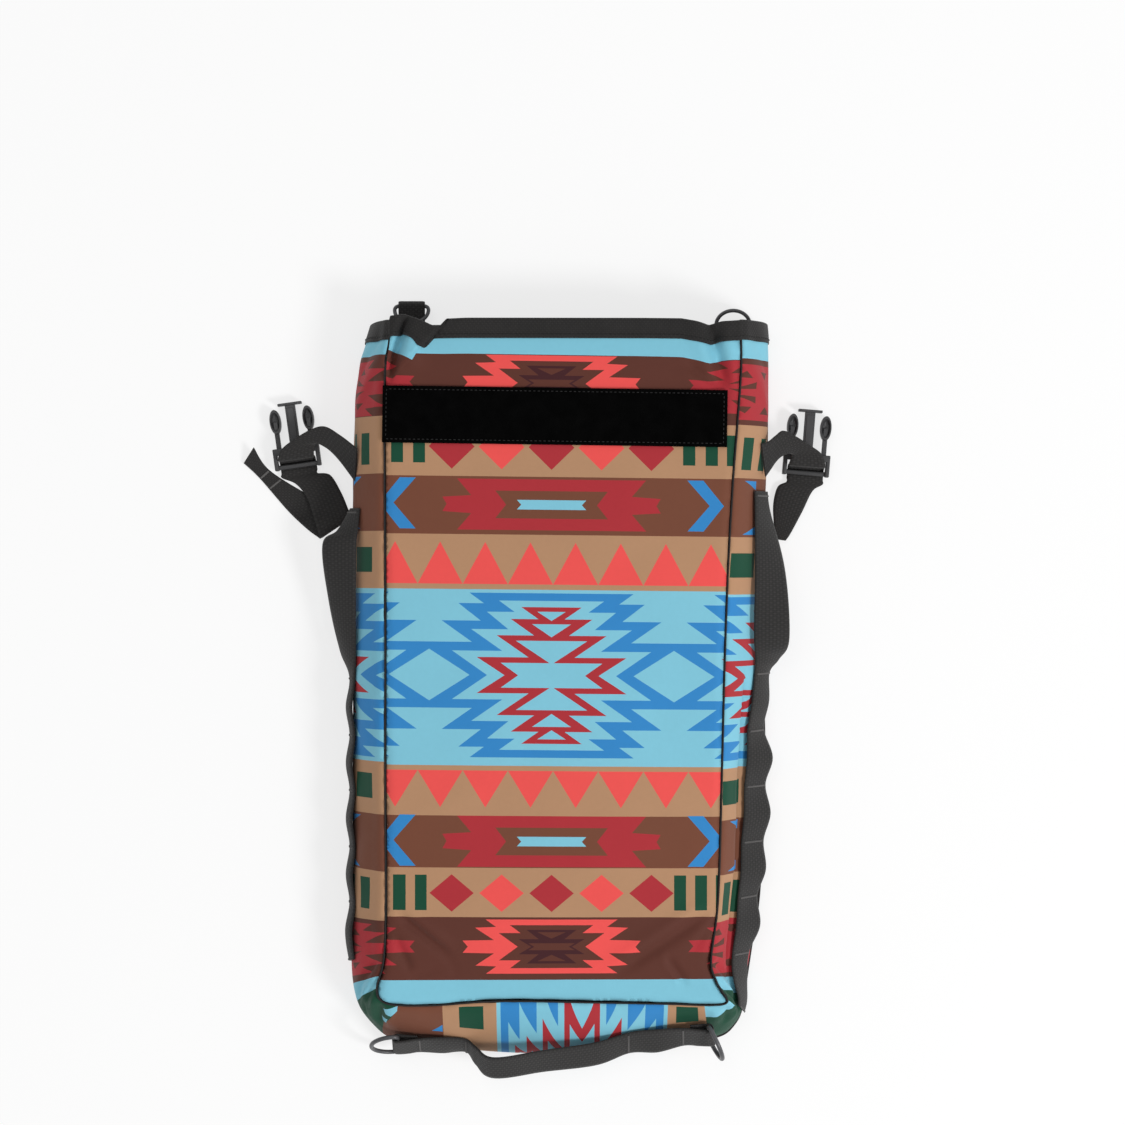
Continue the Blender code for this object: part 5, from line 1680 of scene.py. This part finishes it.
def thread_through(placing, side):
    """The strap's edge through the ladder: down the slot, under the rear bar and away from the prongs."""
    origin, (fx, fy) = placing
    forward, across = np.array((fx, fy, 0.0)), np.array((fy, -fx, 0.0))
    under = BUCKLE_BAR_RADIUS + GAP + WEBBING / 2 + 0.1
    path = ((5.4, 9.0), (4.8, 4.0), (4.2, 0.4), (2.4, -1.9), (0.0, -under), (-4.0, -under), (-7.0, -under))
    edge = np.array(origin) + across * side * (WEBBING_WIDTH / 2)
    return [tuple(edge + forward * y + np.array((0, 0, z))) for y, z in path]


# Edges of each buckle strap from the gusset to its buckle, and of its tail from the buckle on
LEFT_STRAP_OUTER = (
    (-134.2, 158.0, 37.5), (-146, 167, 32), (-157.4, 173.4, 27), (-168, 171, 23.5), (-180, 164, 20),
    (-187.5, 158, 17),
)
LEFT_STRAP_INNER = (
    (-135.9, 135.5, 28), (-146, 149, 26), (-153, 156.5, 24.5), (-158.5, 160.5, 23.0), (-162.5, 162.5, 21),
    (-165, 161, 17.5),
)
LEFT_TAIL_OUTER = (
    (-179, 135, 3.4), (-171.5, 126, 4.4), (-167, 114, 5.2), (-163.5, 102, 5.4), (-162.5, 98, 4.0),
    (-164, 98.5, 1.6), (-172, 104.5, 1.0), (-185, 117, 1.0), (-204, 139, 1.0), (-215, 149.5, 1.2),
)
LEFT_TAIL_INNER = (
    (-155, 141, 4.0), (-147.5, 129, 5.6), (-143, 118.5, 6.2), (-141, 114, 6.0), (-141, 112, 4.2),
    (-143.5, 112.8, 1.8), (-153, 119.5, 1.2), (-171, 128, 1.2), (-197.5, 144.8, 2.6), (-207.5, 160, 8.0),
)
RIGHT_STRAP_OUTER = (
    (138.5, 161, 39), (144, 163, 35), (149, 167, 31), (154.5, 170.5, 28), (163, 167, 24.5), (173, 161, 20.5),
    (181.5, 155, 16.5),
)
RIGHT_STRAP_INNER = (
    (142.0, 139, 32), (145.5, 144, 31), (149.0, 149, 29), (152.5, 152.5, 26.5), (156, 154.5, 23.5),
    (159, 155.5, 20.5), (161, 154.5, 17),
)
RIGHT_TAIL_OUTER = ((176.5, 130, 2.8), (169.5, 116, 2.8), (161.5, 101, 2.8), (158, 96, 2.8))
RIGHT_TAIL_INNER = ((152.5, 133, 2.8), (149.5, 121, 2.8), (150.0, 106, 2.8), (151.0, 97, 2.8))
# Row of the left strap where its hem is sewn
HEM_ROW = 247


def railed_strap(name, outer, inner, rows, node):
    """Webbing between two edges, each a list of points."""
    u = np.linspace(0, len(outer) - 1, rows)
    left, right = along(outer, u)[:, None], along(inner, u)[:, None]
    shares = np.linspace(0, 1, STRAP_COLUMNS)[None, :, None]
    places = left * (1 - shares) + right * shares
    ups = grid_normals(places)
    strap(name, places, ups, node)
    return places, ups


def add_buckle_straps():
    outer = [*LEFT_STRAP_OUTER, *thread_through(LEFT_BUCKLE, -1), *LEFT_TAIL_OUTER]
    inner = [*LEFT_STRAP_INNER, *thread_through(LEFT_BUCKLE, 1), *LEFT_TAIL_INNER]
    places, ups = railed_strap("left_strap_webbing", outer, inner, 260, "left_buckle_strap")
    if ups[HEM_ROW, STRAP_COLUMNS // 2][2] <= 0:
        ups = -ups
    add_threads("left_strap_hem", bar_tack(places, ups, HEM_ROW) + bar_tack(places, ups, HEM_ROW - 4))
    outer = [*RIGHT_STRAP_OUTER, *thread_through(RIGHT_BUCKLE, 1), *RIGHT_TAIL_OUTER]
    inner = [*RIGHT_STRAP_INNER, *thread_through(RIGHT_BUCKLE, -1), *RIGHT_TAIL_INNER]
    railed_strap("right_strap_webbing", outer, inner, 220, "right_buckle_strap")


def add_buckles():
    add_buckle("left_buckle", LEFT_BUCKLE)
    add_buckle("right_buckle", RIGHT_BUCKLE)
    add_buckle_straps()


# Studio, in metres
FLOOR_SIZE = 6.0
FLOOR_Z = -0.0006
FLOOR_GLOW = 0.7
LAMPS = (("key", (2.3, -1.3, 2.7), 1.0), ("side", (-0.8, 1.4, 3.4), 2.0))
CAMERA_PLACE = (0.0045, 0.081, 1.831)


def add_studio():
    studio = settings().studio
    floor = bpy.data.meshes.new("floor")
    corners = [(x * FLOOR_SIZE, y * FLOOR_SIZE, 0) for x, y in ((-1, -1), (1, -1), (1, 1), (-1, 1))]
    floor.from_pydata(corners, [], [(0, 1, 2, 3)])
    floor.materials.append(pale_floor(studio.floor))
    put("floor", floor, (0, 0, FLOOR_Z))
    world = bpy.data.worlds.new("studio")
    world.use_nodes = True
    light_world(world.node_tree, studio.fill)
    for name, place, width in LAMPS:
        lamp = bpy.data.lights.new(name, "AREA")
        lamp.shape = "DISK"
        lamp.size = width
        lamp.energy = getattr(studio, name)
        put(name, lamp, place).rotation_euler = (-Vector(place)).to_track_quat("-Z", "Y").to_euler()
    camera = bpy.data.cameras.new("camera")
    camera.lens = studio.lens
    camera.sensor_width = 36.0
    scene = bpy.context.scene
    scene.world = world
    scene.camera = put("camera", camera, CAMERA_PLACE)
    scene.view_settings.view_transform = "Standard"


def seen_by(tree, *rays):
    """1 for rays of these kinds, and 0 for all others."""
    path = tree.nodes.new("ShaderNodeLightPath")
    seen = path.outputs[rays[0]]
    for ray in rays[1:]:
        seen = maths(tree, "MAXIMUM", seen, path.outputs[ray])
    return seen


def mixed(tree, factor, first, second):
    mix = tree.nodes.new("ShaderNodeMixShader")
    for value, socket in zip((factor, first, second), mix.inputs):
        feed(tree, value, socket)
    return mix.outputs[0]


def pale_floor(colour):
    """A white floor that glows a little for the camera and for reflections, and keeps the shadow."""
    paint, tree, shader = new_material("pale_floor", 0.9, specular=0.1)
    shader.inputs["Base Color"].default_value = (*colour[:3], 1)
    seen = seen_by(tree, "Is Camera Ray", "Is Glossy Ray", "Is Transmission Ray")
    glow = tree.nodes.new("ShaderNodeEmission")
    shown = mixed(tree, maths(tree, "MULTIPLY", seen, FLOOR_GLOW), shader.outputs[0], glow.outputs[0])
    feed(tree, shown, tree.nodes["Material Output"].inputs["Surface"])
    return paint


def light_world(tree, fill):
    """Even light all round, and a white backdrop for the camera."""
    tree.nodes.clear()
    soft = add_node(tree, "ShaderNodeBackground", Color=(1, 1, 1, 1), Strength=fill)
    white = add_node(tree, "ShaderNodeBackground", Color=(1, 1, 1, 1))
    seen = seen_by(tree, "Is Camera Ray", "Is Transmission Ray")
    out = tree.nodes.new("ShaderNodeOutputWorld")
    feed(tree, mixed(tree, seen, soft.outputs[0], white.outputs[0]), out.inputs["Surface"])


def number_setting(name, text, value, **more):
    return bpy.props.FloatProperty(name=name, description=text, default=value, **more)


def colour_setting(name, text, value):
    return bpy.props.FloatVectorProperty(
        name=name, description=text, default=value, size=3, min=0.0, max=1.0, subtype="COLOR"
    )


class ShovelBagInks(bpy.types.PropertyGroup):
    """Colours of the print."""

    light_blue: colour_setting("Light blue", "Ground of the middle field", (0.216, 0.565, 0.708))
    blue: colour_setting("Blue", "Stepped figures of the field", (0.027, 0.238, 0.578))
    coral: colour_setting("Coral", "Triangles and frames", (0.871, 0.084, 0.078))
    dark_red: colour_setting("Dark red", "Bars, stars and diamonds", (0.423, 0.023, 0.033))
    tan: colour_setting("Tan", "Ground of the diamond bands", (0.462, 0.254, 0.138))
    brown: colour_setting("Brown", "Ground of the bar bands", (0.174, 0.056, 0.028))
    dark_brown: colour_setting("Dark brown", "Ground of the frame bands", (0.105, 0.027, 0.016))
    maroon: colour_setting("Maroon", "Cores of the frames", (0.050, 0.007, 0.010))
    green: colour_setting("Green", "Short bars", (0.0, 0.06, 0.028))


class ShovelBagTrims(bpy.types.PropertyGroup):
    """Colours of the trims and fittings."""

    lining: colour_setting("Lining", "Back panel and inside", (0.012, 0.012, 0.012))
    webbing: colour_setting("Webbing", "Straps and handles", (0.023, 0.0218, 0.0213))
    binding: colour_setting("Binding", "Tape round the mouth", (0.018, 0.0168, 0.0163))
    # Seam colour: partly the dark edge of the cloth, partly painted shade, so that the front cord reads as the
    # dark crease between the panels.
    seam: colour_setting("Seam", "Edge of the cloth in the seams", (0.012, 0.010, 0.010))
    loop: colour_setting("Loop pile", "Strip of loop pile", (0.0025, 0.0025, 0.0025))
    buckle: colour_setting("Buckles", "Moulded buckle halves", (0.045, 0.045, 0.047))
    ring: colour_setting("Rings", "Rings in their tabs", (0.075, 0.075, 0.080))
    # Thread colour: partly the thread itself, partly painted shade of the stitch groove under the binding's
    # edge.
    thread: colour_setting("Thread", "Rows of stitches", (0.007, 0.007, 0.007))
    tacks: colour_setting("Tacks", "Thread of the bar tacks", (0.115, 0.110, 0.108))


class ShovelBagCloth(bpy.types.PropertyGroup):
    """How the cloth lies."""

    rumple: number_setting("Rumple", "How uneven the cloth lies", 1.0, min=0.0, max=3.0)


class ShovelBagStudio(bpy.types.PropertyGroup):
    """Light, floor and lens."""

    key: number_setting("Key lamp", "Power of the lamp at the lower right", 72.0, unit="POWER")
    side: number_setting("Side lamp", "Power of the lamp above the mouth", 14.0, unit="POWER")
    fill: number_setting("Fill", "Strength of the light all round", 0.50, min=0.0)
    floor: colour_setting("Floor", "Colour of the floor", (1.0, 1.0, 1.0))
    lens: number_setting("Lens", "Focal length", 85.0, unit="CAMERA")


class ShovelBagSettings(bpy.types.PropertyGroup):
    """Everything that can be changed."""

    inks: bpy.props.PointerProperty(type=ShovelBagInks)
    trims: bpy.props.PointerProperty(type=ShovelBagTrims)
    cloth: bpy.props.PointerProperty(type=ShovelBagCloth)
    studio: bpy.props.PointerProperty(type=ShovelBagStudio)


class BuildStep:
    """What the build steps share: each runs its parts in turn."""

    parts = ()

    def execute(self, context):
        for build in self.parts:
            build()
        return {"FINISHED"}


class SHOVELBAG_OT_front(BuildStep, bpy.types.Operator):
    """Build the printed front"""

    bl_idname = "shovel_bag.front"
    bl_label = "Printed front"
    parts = (add_front,)


class SHOVELBAG_OT_gusset(BuildStep, bpy.types.Operator):
    """Build the printed strip round the sides and the bottom"""

    bl_idname = "shovel_bag.gusset"
    bl_label = "Gusset"
    parts = (add_gusset,)


class SHOVELBAG_OT_back(BuildStep, bpy.types.Operator):
    """Build the plain back and the seams"""

    bl_idname = "shovel_bag.back"
    bl_label = "Back and seams"
    parts = (add_back, add_seams)


class SHOVELBAG_OT_binding(BuildStep, bpy.types.Operator):
    """Fold the tape over the mouth's edge and sew it"""

    bl_idname = "shovel_bag.binding"
    bl_label = "Mouth binding"
    parts = (add_binding,)


class SHOVELBAG_OT_loop_strip(BuildStep, bpy.types.Operator):
    """Sew the loop strip on"""

    bl_idname = "shovel_bag.loop_strip"
    bl_label = "Loop strip"
    parts = (add_loop_strip,)


class SHOVELBAG_OT_webbing(BuildStep, bpy.types.Operator):
    """Build the webbing of the sides and the bottom, with its bar tacks"""

    bl_idname = "shovel_bag.webbing"
    bl_label = "Webbing"
    parts = (add_side_webbing, add_bottom_webbing)


class SHOVELBAG_OT_rings(BuildStep, bpy.types.Operator):
    """Build the rings and the tabs of the mouth"""

    bl_idname = "shovel_bag.rings"
    bl_label = "Rings and tabs"
    parts = (add_rings,)


class SHOVELBAG_OT_buckles(BuildStep, bpy.types.Operator):
    """Build the buckle halves and their straps"""

    bl_idname = "shovel_bag.buckles"
    bl_label = "Buckles and straps"
    parts = (add_buckles,)


class SHOVELBAG_OT_studio(BuildStep, bpy.types.Operator):
    """Set up the floor, the lamps and the camera"""

    bl_idname = "shovel_bag.studio"
    bl_label = "Studio"
    parts = (add_studio,)


class SHOVELBAG_PT_panel(bpy.types.Panel):
    """The bag's settings and its build steps"""

    bl_label = "Shovel bag"
    bl_idname = "SHOVELBAG_PT_panel"
    bl_space_type = "VIEW_3D"
    bl_region_type = "UI"
    bl_category = "Shovel bag"

    def draw(self, context):
        bag = context.scene.shovel_bag
        groups = {"Print": bag.inks, "Trims": bag.trims, "Cloth": bag.cloth, "Studio": bag.studio}
        for title, group in groups.items():
            frame_box = self.layout.box()
            frame_box.label(text=title)
            for name in group.bl_rna.properties.keys():
                if name not in ("rna_type", "name"):
                    frame_box.prop(group, name)
        for step in STEPS:
            self.layout.operator(step.bl_idname)


STEPS = (
    SHOVELBAG_OT_studio,
    SHOVELBAG_OT_front,
    SHOVELBAG_OT_gusset,
    SHOVELBAG_OT_back,
    SHOVELBAG_OT_binding,
    SHOVELBAG_OT_loop_strip,
    SHOVELBAG_OT_webbing,
    SHOVELBAG_OT_rings,
    SHOVELBAG_OT_buckles,
)
CLASSES = (
    ShovelBagInks, ShovelBagTrims, ShovelBagCloth, ShovelBagStudio, ShovelBagSettings, *STEPS,
    SHOVELBAG_PT_panel,
)


def register():
    for cls in CLASSES:
        bpy.utils.register_class(cls)
    bpy.types.Scene.shovel_bag = bpy.props.PointerProperty(type=ShovelBagSettings)


def unregister():
    del bpy.types.Scene.shovel_bag
    for cls in reversed(CLASSES):
        bpy.utils.unregister_class(cls)


def main():
    register()
    for step in STEPS:
        group, name = step.bl_idname.split(".")
        getattr(getattr(bpy.ops, group), name)()


if __name__ == "__main__":
    main()
